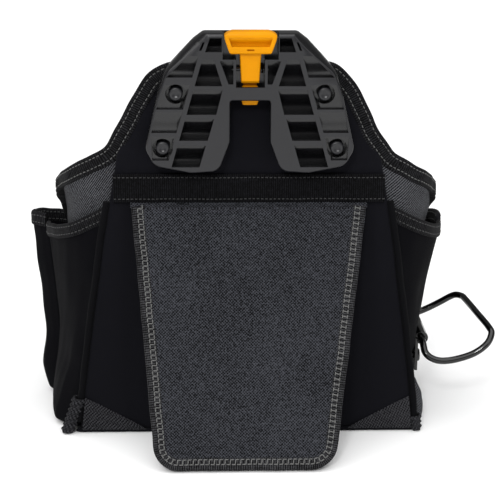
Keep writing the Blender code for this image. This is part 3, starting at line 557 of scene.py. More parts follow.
def side_frame(t, z):
    """Points of the right-hand wall's outer face and its normals, from the rear seam (t = 0) to the front
    corner (t = 1)."""
    t, z = np.broadcast_arrays(np.asarray(t, float), np.asarray(z, float))
    share = np.minimum(1.0, (z / FLARE_TOP_Z) ** 2)[..., None]
    a = np.stack([seam_x(z) + seam_pull(z) - 1.0, np.full(z.shape, SEAM_Y)], -1)
    b, c, d = ((1 - share) * foot + share * top for foot, top in zip(np.array(SIDE_FOOT), np.array(SIDE_TOP)))
    s = t[..., None]
    spot = a * (1 - s) ** 3 + b * 3 * (1 - s) ** 2 * s + c * 3 * (1 - s) * s * s + d * s**3
    run = (b - a) * (1 - s) ** 2 + (c - b) * 2 * (1 - s) * s + (d - c) * s * s
    normal = unit(np.stack([run[..., 1], -run[..., 0]], -1))
    spot[..., 0] -= seam_pull(z) * (1 - t) ** 8
    level = np.zeros((*z.shape, 1))
    return np.concatenate([spot, z[..., None]], -1), np.concatenate([normal, level], -1)


def side_point(t, z, out):
    spot, normal = side_frame(t, z)
    return spot + normal * np.asarray(out, float)[..., None]


def front_point(u, z, out=0.0):
    """Points of the front wall's outer face, u from -1 at its left edge to 1 at its right."""
    u, z, out = np.broadcast_arrays(*(np.asarray(value, float) for value in (u, z, out)))
    share = np.minimum(1.0, (z / FLARE_TOP_Z) ** 2)
    corner_x, corner_y = (SIDE_FOOT[2][k] * (1 - share) + SIDE_TOP[2][k] * share for k in (0, 1))
    return np.stack([u * (corner_x - CORNER_INSET), corner_y + 0.6 + FRONT_BULGE * (1 - u * u) + out, z], -1)


def rim_height(t):
    return np.interp(t, SIDE_RIM_T, SIDE_RIM_Z)


def hang(points, normals):
    """A tape's path from points on a rim and outward normals: it adds the direction down the wall."""
    down = unit(np.cross(np.gradient(points, axis=0), normals))
    return points, normals, np.where(down[:, 2:3] < 0, down, -down)


def whole(part):
    """The whole rim of the back (part 0), from left to right, or of the front (part 1), from right to left."""
    right = RIM_HALVES["right"][part]
    left = [mirror_x(piece[::-1]) for piece in RIM_HALVES["left"][part]]
    first, second = (right, left) if part else (left, right)
    return tuple(np.concatenate([a, b[1:]]) for a, b in zip(first, second))


def flip(grid):
    return mirror_x(grid[:, ::-1])


def rumple(path, seed, out, down):
    """The path of a tape whose sewing has drawn it up a little."""
    points, normals, across = path
    along = run_length(points)
    sway = ripples(seed, along, 0 * along, 7.0, 26.0)[:, None] * out
    drop = ripples(seed + 1, along, 0 * along, 14.0, 50.0)[:, None] * down
    return points + normals * sway + across * drop, normals, across


def settle(t, side):
    """How far the rim has sunk on one side: the right-hand ear hangs a little lower than the left-hand one."""
    return RIGHT_SETTLE * np.interp(t, (0.0, 0.45, 0.75), (1.0, 0.8, 0.0)) if side == "right" else 0.0 * t


def half_rim(side):
    """One half of the body's rim, drawn on the right, in two lengths: the back's up to the ear and the front's
    from there."""
    flat = smooth_curve([(x, REAR_Y + BACK_T / 2, z) for x, z in BACK_RIM], 6)
    flat[:, 2] -= settle(0.0, side) * np.clip((flat[:, 0] - 58) / 24, 0, 1)
    t = np.linspace(0.07, EAR_T + 0.004, 30)
    spot, normal = side_frame(t, rim_height(t) - settle(t, side))
    points = np.concatenate([flat, spot - normal * WALL_T / 2])
    normals = np.concatenate([np.tile((0.0, -1.0, 0.0), (len(flat), 1)), normal])
    back = hang(points, normals)
    t = np.linspace(EAR_T + 0.006, 0.985, 40)
    spot, normal = side_frame(t, rim_height(t) - settle(t, side))
    u = np.linspace(0.985, 0.0, 24)[1:]
    front = front_point(u, SIDE_RIM_Z[-1] - FRONT_RIM_DROP * (1 - u * u), -WALL_T / 2)
    facing = unit(np.stack([0.12 * u, np.ones_like(u), 0 * u], -1))
    points = np.concatenate([spot - normal * WALL_T / 2, front])
    return back, hang(points, np.concatenate([normal, facing]))


def smooth_path(path, step=1.6, rounds=8):
    """The path at an even spacing with its corners eased."""
    points, normals, down = resample(path, step)
    for _ in range(rounds):
        for part in (points, normals, down):
            part[1:-1] = (part[:-2] + 2 * part[1:-1] + part[2:]) / 4
    return points, unit(normals), unit(down)


RIM_HALVES = {side: half_rim(side) for side in ("right", "left")}


PADDING_FRAMES = 20  # how long the padding pushes before its shape is kept


def inflate(obj, free, pressure, cap):
    """Lets the padding push out the outer face of a closed cover, as far as `free` goes from 0 to 1 over its grid.
    No point moves further than `cap` millimetres."""
    mesh = obj.data
    pins = np.ones(len(mesh.vertices))
    pins[:free.size] = np.clip(1 - free.ravel(), 0, 1)
    rest = np.empty(len(mesh.vertices) * 3)
    mesh.vertices.foreach_get("co", rest)
    group = obj.vertex_groups.new(name="sewn_down")
    for index, weight in enumerate(pins):
        group.add([index], float(weight), "REPLACE")
    cloth = obj.modifiers.new("padding", "CLOTH")
    settings = cloth.settings
    settings.quality = 5
    settings.mass = 0.2
    settings.use_pressure = True
    settings.uniform_pressure_force = pressure
    settings.vertex_group_mass = group.name
    settings.tension_stiffness = settings.compression_stiffness = 12
    settings.shear_stiffness = 4
    settings.bending_stiffness = 0.3
    settings.effector_weights.gravity = 0
    cloth.point_cache.frame_end = PADDING_FRAMES
    for number in range(1, PADDING_FRAMES + 1):
        SCENE.frame_set(number)
    blown = np.empty(len(rest))
    obj.evaluated_get(bpy.context.evaluated_depsgraph_get()).data.vertices.foreach_get("co", blown)
    obj.modifiers.remove(cloth)
    obj.vertex_groups.remove(group)
    SCENE.frame_set(1)
    moved = (blown - rest).reshape(-1, 3)
    far = np.linalg.norm(moved, axis=1, keepdims=True)
    moved *= np.minimum(1.0, cap * MM / np.maximum(far, 1e-9))
    rest += moved.ravel()
    mesh.vertices.foreach_set("co", rest)
    mesh.update()
    smoother = obj.modifiers.new("smooth", "SUBSURF")
    smoother.levels = smoother.render_levels = 1


def back_grid(rows=64, columns=61):
    """Rear face of the back panel: rulings from the foot to the outline under the rim tape."""
    halves = {}
    for side in ("right", "left"):
        points, _, down = RIM_HALVES[side][0]
        low = (points + down * RIM_W * 0.55)[points[:, 0] < 88.0]
        shoulder = SHOULDER_Z - settle(0.0, side)
        top = np.concatenate([low[:, [0, 2]], [[seam_x(shoulder) + 0.6, shoulder]]])
        length = distances(top)
        s = np.linspace(0.0, 1.0, (columns + 1) // 2)
        upper = at_distance(s * length[-1], length, top)
        lower = np.stack([s * seam_x(FLOOR_Z), np.full_like(s, FLOOR_Z)], -1)
        v = np.linspace(0.0, 1.0, rows)[:, None, None]
        half = lower * (1 - v) + upper * v
        edge = half[:, -1]
        half[..., 0] += s * (seam_x(edge[:, 1]) + 0.6 - edge[:, 0])[:, None]
        halves[side] = np.stack([half[..., 0], np.full(half.shape[:2], REAR_Y), half[..., 1]], -1)
    return np.concatenate([mirror_x(halves["left"][:, :0:-1]), halves["right"]], axis=1)


def make_back():
    """The padded back. Its cover is free to puff except near its edges, under the webbing band and the hub, and
    where the kickstand leans on it."""
    grid = back_grid()
    x, z = grid[..., 0], grid[..., 2]
    rows, columns = x.shape
    v, s = np.meshgrid(np.linspace(0, 1, rows), np.linspace(-1, 1, columns), indexing="ij")
    margin = np.minimum(np.minimum(v * 250, (1 - v) * 250), (1 - abs(s)) * 100)
    band = np.maximum(abs(z - BAND_MIDDLE_Z) - 12.0, 0) + np.maximum(abs(x) - 95.0, 0)
    hub = np.where((z > 196) & (abs(x) < 74 - 0.45 * np.maximum(z - 214, 0)), 1.0, 0.0)
    lean_on = np.clip((KICK_TOP_HALF + 7 - abs(x)) / 5, 0, 1) * np.clip((184 - z) / 6, 0, 1)
    free = np.clip(margin / 16, 0, 1) * np.clip(band / 10, 0, 1) * (1 - hub) * (1 - lean_on)
    grid[..., 1] += 0.5 * np.exp(-margin / 4) - 0.35 * free - 0.3 * free * ripples(4, x, z, 26, 80)
    grid[..., 1] += lean_on * (0.5 + 0.12 * ripples(5, x, z, 22, 60))
    cover = shell("back_cover", grid, BACK_T, BLACK, LINING, flat=np.stack([x, z, 0 * x], -1))
    inflate(cover, free, 2.2, 2.0)
    place(cover, "pouch", "black_nylon", "back_panel")


def make_side_walls():
    rows, columns = 80, 72
    t = np.linspace(0.0, 1.0, columns)[None]
    level = np.linspace(0.0, 1.0, rows)[:, None]
    for side, seed in (("right", 11), ("left", 17)):
        rim = rim_height(t) - settle(t, side)
        z = WALL_FOOT_Z + (rim - UNDER_RIM - WALL_FOOT_Z) * level
        loose = np.sin(np.pi * t) ** 0.6 * np.clip((z - 120) / 40, 0.3, 1) * np.clip((rim - z) / 16, 0, 1)
        folds = ripples(seed, t * 165, z, 26, 90)
        grid = side_point(t, z, loose * folds * np.where(z > 140, 1.5, 0.7))
        grid = grid if side == "right" else flip(grid)
        wall = shell(f"{side}_gusset_cloth", grid, WALL_T, GREY, LINING)
        place(wall, "pouch", "grey_nylon", f"{side}_gusset")


def make_front():
    rows, columns = 50, 90
    u = np.linspace(1.0, -1.0, columns)[None]
    top = SIDE_RIM_Z[-1] - FRONT_RIM_DROP * (1 - u * u) - RIM_W * 0.5
    z = WALL_FOOT_Z + (top - WALL_FOOT_Z) * np.linspace(0.0, 1.0, rows)[:, None]
    sag = ripples(23, u * 115, z, 40, 110) * 0.8 * np.clip((1 - abs(u)) * 5, 0, 1) * np.clip((top - z) / 14, 0, 1)
    wall = shell("front_wall_cloth", front_point(u, z, sag), WALL_T, BLACK, LINING)
    place(wall, "pouch", "black_nylon", "front_panel")


def base_outline(inset):
    """Outline of the base, moved inwards, anticlockwise seen from above."""
    rear = REAR_Y + inset
    side = side_point(np.linspace(0.06, 0.98, 24), 0.0, -inset)[:, :2]
    front = front_point(np.linspace(0.9 - inset / 200, 0.0, 14), 0.0, -inset)[:, :2]
    corner = np.array([(x, rear) for x in np.linspace(0, SEAM_FOOT_X - inset - 3.0, 16)])
    half = np.concatenate([corner, [(SEAM_FOOT_X - inset - 0.9, rear + 1.2)], side, front])
    return np.concatenate([half, (half * (-1, 1))[-2:0:-1]])


def make_base():
    """The padded base, with a rolled lower edge and a slightly crowned underside."""
    rings = []
    profile = (
        (60.0, 3.0), (9.0, 3.0), (1.2, 3.0), (0.2, 2.6), (0.0, 1.8), (0.4, 0.8), (1.6, 0.15), (5.0, 0.0),
        (24.0, 0.0), (52.0, 0.0),
    )
    centre = np.array((0.0, 2.0))
    for inset, z in profile:
        outline = base_outline(min(inset, 9.0))
        if inset > 9:
            outline = centre + (outline - centre) * (1 - (inset - 9) / 64)
        rings.append(np.column_stack([outline, np.full(len(outline), z)]))
    x, y, z = np.moveaxis(np.array(rings), -1, 0)
    base = loft("base_cloth", rings, BLACK, np.stack([x, y + z, 0 * x], -1), angle=75)
    place(base, "pouch", "black_nylon", "base_panel")


def rim_tape(name, path, width, thick, seed, node, colour):
    """A binding tape with two rows of stitches on each face, as two pieces."""
    path = rumple(smooth_path(path), seed, 0.3, 0.6)
    place(tape(name + "_tape", path, width, thick, BINDING), "pouch", "webbing", node)
    lift = np.broadcast_to(thick, len(path[0]))[:, None] / 2 * 0.93
    rows = [row_on(path, share, lift, width, side) for share in TAPE_ROWS for side in (1, -1)]
    seam = stitches(name + "_stitches", [dashes(*row, RIM_STITCH_PITCH) for row in rows], RIM_STITCH_R, colour)
    place(seam, "pouch", "webbing")


def rim_thickness(path):
    """Thickness along a rim tape: the rolled fold at each ear is fatter than the rest."""
    along = distances(path[0])
    to_end = np.minimum(along, along[-1] - along)
    return RIM_T + 4.2 * np.exp(-((to_end - 3.5) / 5.5) ** 2)


def make_rims():
    for part, label, seed in ((0, "back", 31), (1, "front", 37)):
        path = whole(part)
        thick = rim_thickness(smooth_path(path))
        rim_tape(f"{label}_rim", path, RIM_W, thick, seed, f"{label}_rim_binding", PALE_THREAD)


def make_pipings():
    z = np.linspace(9.0, 173.0, 90)
    rear = np.stack([seam_x(z) + 3.0, np.full_like(z, REAR_Y + 1.0), z], -1)
    z = np.linspace(4.0, 131.0, 70)
    front = front_point(1.0, z) + (3.0, 1.2, 0.0)
    for label, line, radius, seed in (("", rear, 2.5, 41), ("front_", front, 2.0, 43)):
        for side, sign in (("right", 1), ("left", -1)):
            wobble = ripples(seed + sign, line[:, 2], 0 * line[:, 2], 16, 60)[:, None] * (0.35, 0.1, 0.0)
            run = (line + wobble) * (sign, 1, 1)
            pinch = 1 + 0.05 * ripples(seed + 5, line[:, 2], 0 * line[:, 2], 8, 24)
            cord = tube(f"{side}_{label}piping_cord", run, radius * pinch, PIPING)
            place(cord, "pouch", "piping", f"{side}_{label}piping")


# ---- pockets --------------------------------------------------------------------------------------------


def rear_rim(t):
    """Height of the side pocket's rim, which drops away from the seam."""
    s = np.clip((t - REAR_SPAN[0]) / (REAR_SPAN[1] - REAR_SPAN[0]), 0, 1)
    return 168.0 - 24.0 * (1 - (1 - s) ** 1.7)


def tube_rim(t):
    """Height of the tube pocket's rim."""
    return 148.0 - 11.0 * ((t - TUBE_SPAN[0]) / (TUBE_SPAN[1] - TUBE_SPAN[0])) ** 2


def rear_share(t, z, full):
    """How a side pocket's fullness is shared out along the wall: it opens towards its front edge."""
    power = 0.35 + 0.85 * np.minimum(1.0, z / 110.0) if full else 1.3
    return np.clip((t - REAR_SPAN[0]) / (REAR_SPAN[1] - REAR_SPAN[0]), 0, None) ** power


def tube_share(t, z, full):
    """The same for a tube pocket, which is fullest near its rear edge."""
    if full:
        stops = (0.57, 0.595, 0.625, 0.67, 0.73, 0.78, 0.83, 0.87, 0.90)
        return np.interp(t, stops, (0.50, 0.74, 0.93, 1.0, 0.97, 0.80, 0.52, 0.24, 0.0))
    return np.interp(t, (0.57, 0.63, 0.70, 0.78, 0.85, 0.90), (0.86, 0.97, 1.0, 0.85, 0.40, 0.0))


def fullness(z, foot, full):
    """How much of its fullness a pocket has at each height."""
    if full:
        return np.minimum(1.0, 0.78 + 0.22 * np.sqrt(np.clip(z - foot, 0, None) / 20.0))
    return np.clip((z - foot) / 74.0, 0, 1) ** 0.8


def pocket_start(t, span, z):
    """Where a point of a pocket lies along the wall: higher up, a side pocket starts further from the seam."""
    clear = 0.022 * np.minimum(1.0, (z / FLARE_TOP_Z) ** 2)
    return t + clear * (1 - (t - span[0]) / (span[1] - span[0])) if span == REAR_SPAN else t + 0 * z


POCKETS = (  # side, piece, span, rim, share, fullness, foot, seed, flat size, flat area
    ("left", "side", REAR_SPAN, rear_rim, rear_share, 12.5, 3.2, 51, (0.105, 0.172), 0.0113),
    ("left", "tube", TUBE_SPAN, tube_rim, tube_share, 26.5, 3.2, 57, (0.092, 0.145), 0.0097),
    ("right", "side", REAR_SPAN, rear_rim, rear_share, 10.2, 58.0, 63, (0.100, 0.110), 0.0063),
    ("right", "tube", TUBE_SPAN, tube_rim, tube_share, 11.2, 58.0, 69, (0.070, 0.085), 0.0041),
)
WAIST = {"side": 1.0, "tube": 2.0}  # how far a full pocket is drawn in half-way up
BELLY = {"side": 8.6, "tube": 3.0}  # and how far it sags out near its foot


def pocket_rim(name, points, seed, node, mirrored=False):
    """The tape over a pocket's rim, from points along the rim on its outer face."""
    run = np.gradient(points, axis=0)
    normals = unit(np.stack([run[:, 1], -run[:, 0], 0 * run[:, 0]], -1))
    path = hang(points - normals * POCKET_T / 2, normals)
    if mirrored:
        path = tuple(mirror_x(part[::-1]) for part in path)
    rim_tape(name, path, TAPE_W, TAPE_T, seed, node, DIM_THREAD)


def make_side_pockets():
    for side, kind, span, rim, share, amount, foot, seed, flat, area in POCKETS:
        full = side == "left"  # the right-hand pockets taper to nothing at their foot
        t = np.linspace(*span, 54)[None]

        def outer(t, z, extra=0.0):
            swell = amount * share(t, z, full) * fullness(z, foot, full)
            swell = swell - WAIST[kind] * full * share(t, z, full) * np.exp(-((z - 54.0) / 26.0) ** 2)
            return side_point(pocket_start(t, span, z), z, POCKET_LIFT + swell + extra)

        top = rim(t) - TAPE_W * 0.5
        level = np.concatenate([np.linspace(0, 0.08, 9), np.linspace(0.1, 1, 54)])[:, None]
        z = foot + (top - foot) * level
        middle = (t - span[0]) / (span[1] - span[0])
        held = np.clip(middle * (1 - middle) * 9, 0, 1) * np.clip((z - foot) / 10, 0, 1)
        held = held * np.clip((top - z) / 12 + 0.15, 0, 1)
        creases = ripples(seed, t * 150, z, 22, 64) * 0.8 + ripples(seed + 1, t * 150, z * 0.4, 14, 34) * 0.22
        belly = BELLY[kind] * np.exp(-((z - foot) / 46) ** 2) * np.clip(middle * 4.5, 0, 1) if full else 0.0
        belly = belly * np.clip((1 - middle) * 4.0, 0, 1) ** 0.5 * np.clip((z - foot) / 5 + 0.8, 0, 1)
        grid = outer(t, z, held * creases * (1.0 if full else 0.6) + belly)
        if full:
            first = side_point(pocket_start(t, span, z[:1]), z[:1], 1.2)
            grid = flip(np.concatenate([first, grid]))
        piece = shell(f"{side}_{kind}_pocket_cloth", grid, POCKET_T, POCKET)
        place(piece, "pouch", "black_nylon", f"{side}_{kind}_pocket")
        line = np.linspace(*span, 120)
        name = f"{side}_{kind}_pocket"
        pocket_rim(f"{name}_rim", outer(line, rim(line)), seed + 3, f"{name}_binding", mirrored=side == "left")


def make_front_pockets():
    behind = front_point
    rows = (
        ("front_pocket", "black_nylon", BLACK, 0.95, 118.0, 13.0, (0.226, 0.122), 71),
        ("lower_front_pocket", "grey_nylon", GREY, 0.86, 76.0, 8.0, (0.214, 0.078), 77),
    )
    for name, slot, material, half, rim, full, flat, seed in rows:

        def outer(u, z, out=0.0, behind=behind, half=half, full=full):
            rise = np.minimum(1.0, 0.3 + 0.7 * np.sqrt(np.clip(z - 4, 0, None) / 24))
            swell = full * rise * np.clip(1 - abs(u / half) ** 3, 0, None)
            return behind(u, z, POCKET_LIFT + swell + out)

        u = np.linspace(half, -half, 80)[None]
        level = np.concatenate([np.linspace(0, 0.1, 9), np.linspace(0.12, 1, 40)])[:, None]
        z = FLOOR_Z + (rim - TAPE_W * 0.5 - FLOOR_Z) * level
        held = np.clip((1 - abs(u / half)) * 6, 0, 1) * np.clip((z - FLOOR_Z) / 10, 0, 1)
        grid = outer(u, z, held * ripples(seed, u * 115, z, 24, 70) * 0.8)
        grid = np.concatenate([behind(u, z[:1], POCKET_LIFT), grid])
        piece = shell(name + "_cloth", grid, POCKET_T, material)
        place(piece, "pouch", slot, name)
        line = np.linspace(half, -half, 120)
        pocket_rim(name + "_rim", outer(line, np.full_like(line, rim)), seed + 3, name + "_binding")
        behind = outer


# ---- corner guards --------------------------------------------------------------------------------------


def guard_sleeve(side):
    """A corrugated roll round the foot of the seam, with an outer and an inner skin."""
    left = side == "left"
    high, across, out, lean = (27.0, 4.9, 4.2, 7.0) if left else (12.0, 3.9, 4.0, 0.0)
    turns = np.linspace(0, 2 * np.pi, 28, endpoint=False)[None]
    z = np.linspace(0.6, high, 60)[:, None]
    ridge = 0.6 * np.sin(2 * np.pi * (z + 2.42 * np.cos(turns - 0.6)) / 3.7)
    lip = 0.5 * np.exp(-((z - high + 0.5) / 2.2) ** 2)
    radius = (across + ridge + lip) * np.clip((z + 3.5) / 5, 0.5, 1)
    x = seam_x(z) + out + lean * np.clip(1 - z / 27, 0, 1)
    middle = np.stack(np.broadcast_arrays(x, REAR_Y + 1.6, z + 0.7 * np.cos(turns)), -1)
    spoke = np.stack([0.95 * radius * np.cos(turns), radius * np.sin(turns), 0 * radius], -1)
    rings = np.concatenate([middle + spoke, (middle + 0.76 * spoke)[::-1]])
    cloth = np.stack(np.broadcast_arrays(4 * turns, rings[..., 2], 0.0), -1)
    return loft(f"{side}_guard_sleeve", mirror_x(rings) if left else rings, GUARD, cloth, angle=80, closed=True)


def guard_flap(side):
    """The flat part across the back, which tapers towards the middle."""
    s, v = np.linspace(0.0, 1.0, 40)[None], np.linspace(0.0, 1.0, 22)[:, None]
    x = 119.0 - 46.0 * s
    height = 0.5 + 24.4 * (1 - s) ** 0.95 * v
    y = REAR_Y - 1.1 - 0.5 * np.sin(np.pi * v) * (1 - s) - 0.25 * ripples(83, x, height, 9, 24)
    grid = np.stack([x - 2.6 * v * (1 - s), y, 2.4 + height], -1)
    return shell(f"{side}_guard_flap", mirror_x(grid) if side == "left" else grid[:, ::-1], GUARD_T, GUARD)


def guard_side_flap():
    """Loose cloth that bulges beyond the right-hand seam."""
    along, up = np.linspace(0.0, 1.0, 30)[None], np.linspace(0.0, 1.0, 30)[:, None]
    top = 49.0 - 30.0 * along**1.6
    z = 2.4 + (top - 2.4) * up
    bulge = 8.4 * np.sin(np.pi * (0.12 + 0.82 * along)) * np.sin(np.pi * (0.16 + 0.8 * up)) ** 0.7
    grid = side_point(0.01 + 0.13 * along, z, 1.1 + bulge + 0.3 * ripples(85, z, 20 * along + z, 9, 20))
    return shell("right_guard_side_flap", grid, GUARD_T, GREY)


def make_guards():
    """The corrugated corner guards at the feet of the two seams."""
    for side in ("right", "left"):
        pieces = [guard_sleeve(side), guard_flap(side)]
        if side == "right":
            pieces.append(guard_side_flap())
        for piece in pieces:
            place(piece, "pouch", "grey_nylon", f"{side}_corner_guard")


# ---- kickstand ------------------------------------------------------------------------------------------


def kick_world(points):
    """From the kickstand's own frame, x, y and minus the drop below its hinge, to the object's."""
    x, y, z = points[..., 0], points[..., 1], points[..., 2]
    c, s = math.cos(KICK_LEAN), math.sin(KICK_LEAN)
    return np.stack([x + KICK_SKEW * z, HINGE_Y + y * c + z * s, HINGE_Z - y * s + z * c], -1)


def kick_turn(directions):
    """The same for directions."""
    return kick_world(directions) - kick_world(np.zeros(3))


def kick_half(drop):
    """Half-width of the kickstand at a drop below its hinge."""
    return KICK_TOP_HALF + (KICK_FOOT_HALF - KICK_TOP_HALF) * drop / KICK_LENGTH


def kick_face(inset, top, step):
    """Half-widths and drops of rows across the kickstand inside its binding, from the foot up."""
    low, radius = KICK_LENGTH - inset, KICK_CORNER - inset
    bend = low - radius + radius * np.sin(np.linspace(np.pi / 2, 0, 7))
    drop = np.concatenate([bend[:-1], np.linspace(low - radius, top, int((low - radius - top) / step))])
    into = np.clip((drop - (low - radius)) / radius, 0, 1)
    return kick_half(drop) - inset - radius * (1 - np.sqrt(1 - into**2)), drop


def make_kickstand():
    half, drop = (part[:, None] for part in kick_face(5.0, 3.4, 4.2))
    s = np.linspace(-1.0, 1.0, 39)[None]
    x, z = s * half, -drop + 0 * s
    edge = np.minimum((1 - abs(s)) * half, np.minimum(KICK_LENGTH - 5 - drop, 40 + drop))
    free = np.clip((edge - 3) / 9, 0, 1)
    for name, node, y, sign, swell, thickness in (
        ("kickstand_pad", "kickstand_rear_face", KICK_FAR + 0.35, -1, 1.0, 1.4),
        ("kickstand_lining", "kickstand_pouch_face", KICK_NEAR - 0.5, 1, 0.35, 1.1),
    ):
        lift = 0.7 * np.clip(edge / 10, 0, 1) ** 0.5 + 0.35 * free * ripples(91 + sign, x, drop, 22, 70)
        grid = kick_world(np.stack([x, y + sign * lift * swell, z], -1))
        cloth = np.stack([x, z, 0 * x], -1)
        order = slice(None, None, -sign)
        pad = shell(name, grid[:, order], thickness, CANVAS, flat=cloth[:, order])
        if sign < 0:
            inflate(pad, free, 2.0, 1.6)
        place(pad, "kickstand", "kick_canvas", node)
    make_kick_binding()
    make_hinge()


def make_kick_binding():
    """The tape round the kickstand's edge, with a ladder of overlock stitches on each face."""
    half, drop = kick_face(0.0, 2.6, 3.0)
    right = np.stack([half, np.full_like(half, (KICK_FAR + KICK_NEAR) / 2 - 0.25), -drop], -1)[::-1]
    outline = np.concatenate([right, mirror_x(right)[::-1]])
    normal = np.tile((0.0, -1.0, 0.0), (len(outline), 1))
    inward = np.cross(unit(np.gradient(outline, axis=0)), normal)
    inward *= np.sign(-inward[:, :1] * outline[:, :1] - inward[:, 2:] * (outline[:, 2:] + KICK_LENGTH / 2))
    path = smooth_path((kick_world(outline), kick_turn(normal), kick_turn(inward)), 1.5, 1)
    path = rumple(path, 101, 0.12, 0.25)
    thick = KICK_NEAR - KICK_FAR
    piece = tape("kickstand_edge_tape", path, KICK_TAPE_W, thick, KICK_BINDING, rows=LADDER_ROWS)
    place(piece, "kickstand", "webbing", "kickstand_binding")
    outer, inner = LADDER_ROWS
    for face, side, radius in (("outer", 1, 0.42), ("inner", -1, 0.3)):
        rails = [row_on(path, share, thick / 2 * 0.96, KICK_TAPE_W, side) for share in (inner, outer)]
        rungs = row_on(path, (inner + outer) / 2, thick / 2 * 0.99, KICK_TAPE_W, side)
        lines = [dashes(*rail, LADDER_PITCH, 0.8) for rail in rails]
        lines.append(dashes(*rungs, LADDER_PITCH, 0.92, turn=1.45))
        place(stitches(f"kickstand_{face}_ladder_stitch", lines, radius, LADDER_THREAD), "kickstand", "webbing")


def make_hinge():
    """The canvas that runs from under the webbing band into the top of the kickstand, and the band itself."""
    rear = kick_world(np.array([(0.0, KICK_FAR + y, z) for y, z in ((0.5, -15.0), (0.7, -9.0), (1.9, -4.0))]))
    line = [*rear, (0.0, -62.9, 171.4), (0.0, -61.25, 174.6), (0.0, -61.1, 180.0)]
    line = smooth_curve([(0.0, y, z) for _, y, z in line], 6)[:, None]
    y, z = line[..., 1], line[..., 2]
    below = kick_half(np.clip(HINGE_Z - z, 0, 30) / math.cos(KICK_LEAN)) - 0.8
    x = np.linspace(-1.0, 1.0, 70)[None] * np.where(z > HINGE_Z - 2, KICK_TOP_HALF + 0.1, below)
    grid = np.stack([x, y + 0.12 * ripples(111, x, z, 12, 40), z + 0 * x], -1)
    place_blend(shell("kickstand_hinge_cloth", grid, 0.9, CANVAS))
    x = np.linspace(-BAND_HALF, BAND_HALF, 150)
    points = np.stack([x, np.full_like(x, -61.35), np.full_like(x, BAND_TOP_Z)], -1)
    normals, down = (np.tile(direction, (len(x), 1)) for direction in ((0.0, -1.0, 0.0), (0.0, 0.0, -1.0)))
    path = rumple((points, normals, down), 121, 0.1, 0.2)
    band = tape("hinge_band", path, BAND_W, BAND_T, WEBBING, rows=BAND_ROWS, flat=True)
    place(band, "pouch", "webbing", "hinge_webbing_band")
    lines = [dashes(*row_on(path, share, 1.0, BAND_W), 2.9) for share in BAND_ROWS]
    place(stitches("hinge_band_stitches", lines, 0.34, DIM_THREAD), "pouch", "webbing")


def place_blend(hinge):
    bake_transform(hinge)
    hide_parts("kickstand_hinge_tape")


# ---- latch hub --------------------------------------------------------------------------------------------


def rounded(corners, steps=9):
    """The outline through (x, z, radius) corners, with an arc at each corner that has a radius."""
    outline = []
    for i, (x, z, radius) in enumerate(corners):
        corner = Vector((x, z))
        if radius <= 0:
            outline.append((x, z))
            continue
        before = (Vector(corners[i - 1][:2]) - corner).normalized()
        after = (Vector(corners[(i + 1) % len(corners)][:2]) - corner).normalized()
        half = before.angle(after) / 2
        centre = corner + (before + after).normalized() * (radius / math.sin(half))
        first = corner + before * (radius / math.tan(half))
        last = corner + after * (radius / math.tan(half))
        sweep = (first - centre).angle_signed(last - centre)
        for k in range(steps + 1):
            turned = (first - centre).copy()
            turned.rotate(Matrix.Rotation(-sweep * k / steps, 2))
            outline.append(tuple(centre + turned))
    return outline


def hub_outline(front):
    """The hub's outline at its front face, or behind its rounded shoulders."""
    upper = (
        ((28.8, 291.7, 2), (33.6, 285.6, 8), (42.6, 277.6, 10), (56.2, 266.2, 14), (62.2, 250.0, 20)) if front else
        ((31.6, HUB_TOP_Z, 5), (38.6, 287.2, 10), (48.2, 277.0, 12), (58.2, 266.0, 18), (63.0, 250.0, 20))
    )
    half = rounded([
        (0, HUB_TOP_Z - 0.8 * front, 0), *upper, (71.0, 214, 9), (64.5, 202, 10), (40, 197.2, 14), (21, 198.4, 8),
        (HUB_SLOT_HALF, 219, 8), (HUB_SLOT_HALF, CROSSBAR_LOW, 1.5), (0, CROSSBAR_LOW, 0),
    ])
    other = [(-x, z) for x, z in reversed(half) if x > 0.001]
    return np.array(half + other)


def inset_outline(outline, inset):
    """The outline moved inwards, for a clockwise closed line."""
    ahead = unit(np.roll(outline, -1, axis=0) - outline)
    behind = unit(outline - np.roll(outline, 1, axis=0))
    along = unit(ahead + behind)
    inward = np.stack([along[:, 1], -along[:, 0]], -1)
    area = np.sum(outline[:, 0] * np.roll(outline[:, 1], -1) - np.roll(outline[:, 0], -1) * outline[:, 1])
    return outline + inward * inset * (1 if area < 0 else -1)


BAR_SIDES = 40  # sides of a round bar or peg


def solid(name, rings, material=HUB):
    """A closed plastic piece, or a cutter for one, through rings with the same number of points."""
    return loft(name, rings, material)


def prism(name, outline, near, far):
    """An outline in x and z, drawn out along y."""
    return solid(name, [[(x, y, z) for x, z in outline] for y in (near, far)])


def box(name, low, high):
    (x0, y0, z0), (x1, y1, z1) = low, high
    return prism(name, [(x0, z0), (x1, z0), (x1, z1), (x0, z1)], y0, y1)


def round_bar(name, start, end, radius):
    return tube(name, [start, tuple((np.array(start) + end) / 2), end], radius, HUB, sides=BAR_SIDES)


def gloss_and_shade(mesh, beyond=-math.inf):
    """Gives the glossier, darker hub material to the faces whose middle lies at a larger y than `beyond`: its
    gloss is real, its darker colour painted shade.
    """
    mesh.materials.append(HUB_SHADED_GLOSS)
    for polygon in mesh.polygons:
        polygon.material_index = int(polygon.center.y > beyond * MM)


def carve(obj, cutters, bevel):
    """Cuts the cutters out, then rounds the edges that are left."""
    for cutter in cutters:
        modifier = obj.modifiers.new(cutter.name, "BOOLEAN")
        modifier.operation = "DIFFERENCE"
        modifier.solver = "EXACT"
        modifier.object = cutter
    mesh = bpy.data.meshes.new_from_object(obj.evaluated_get(bpy.context.evaluated_depsgraph_get()))
    obj.modifiers.clear()
    obj.data = mesh
    for cutter in cutters:
        bpy.data.objects.remove(cutter, do_unlink=True)
    soften(obj, bevel)


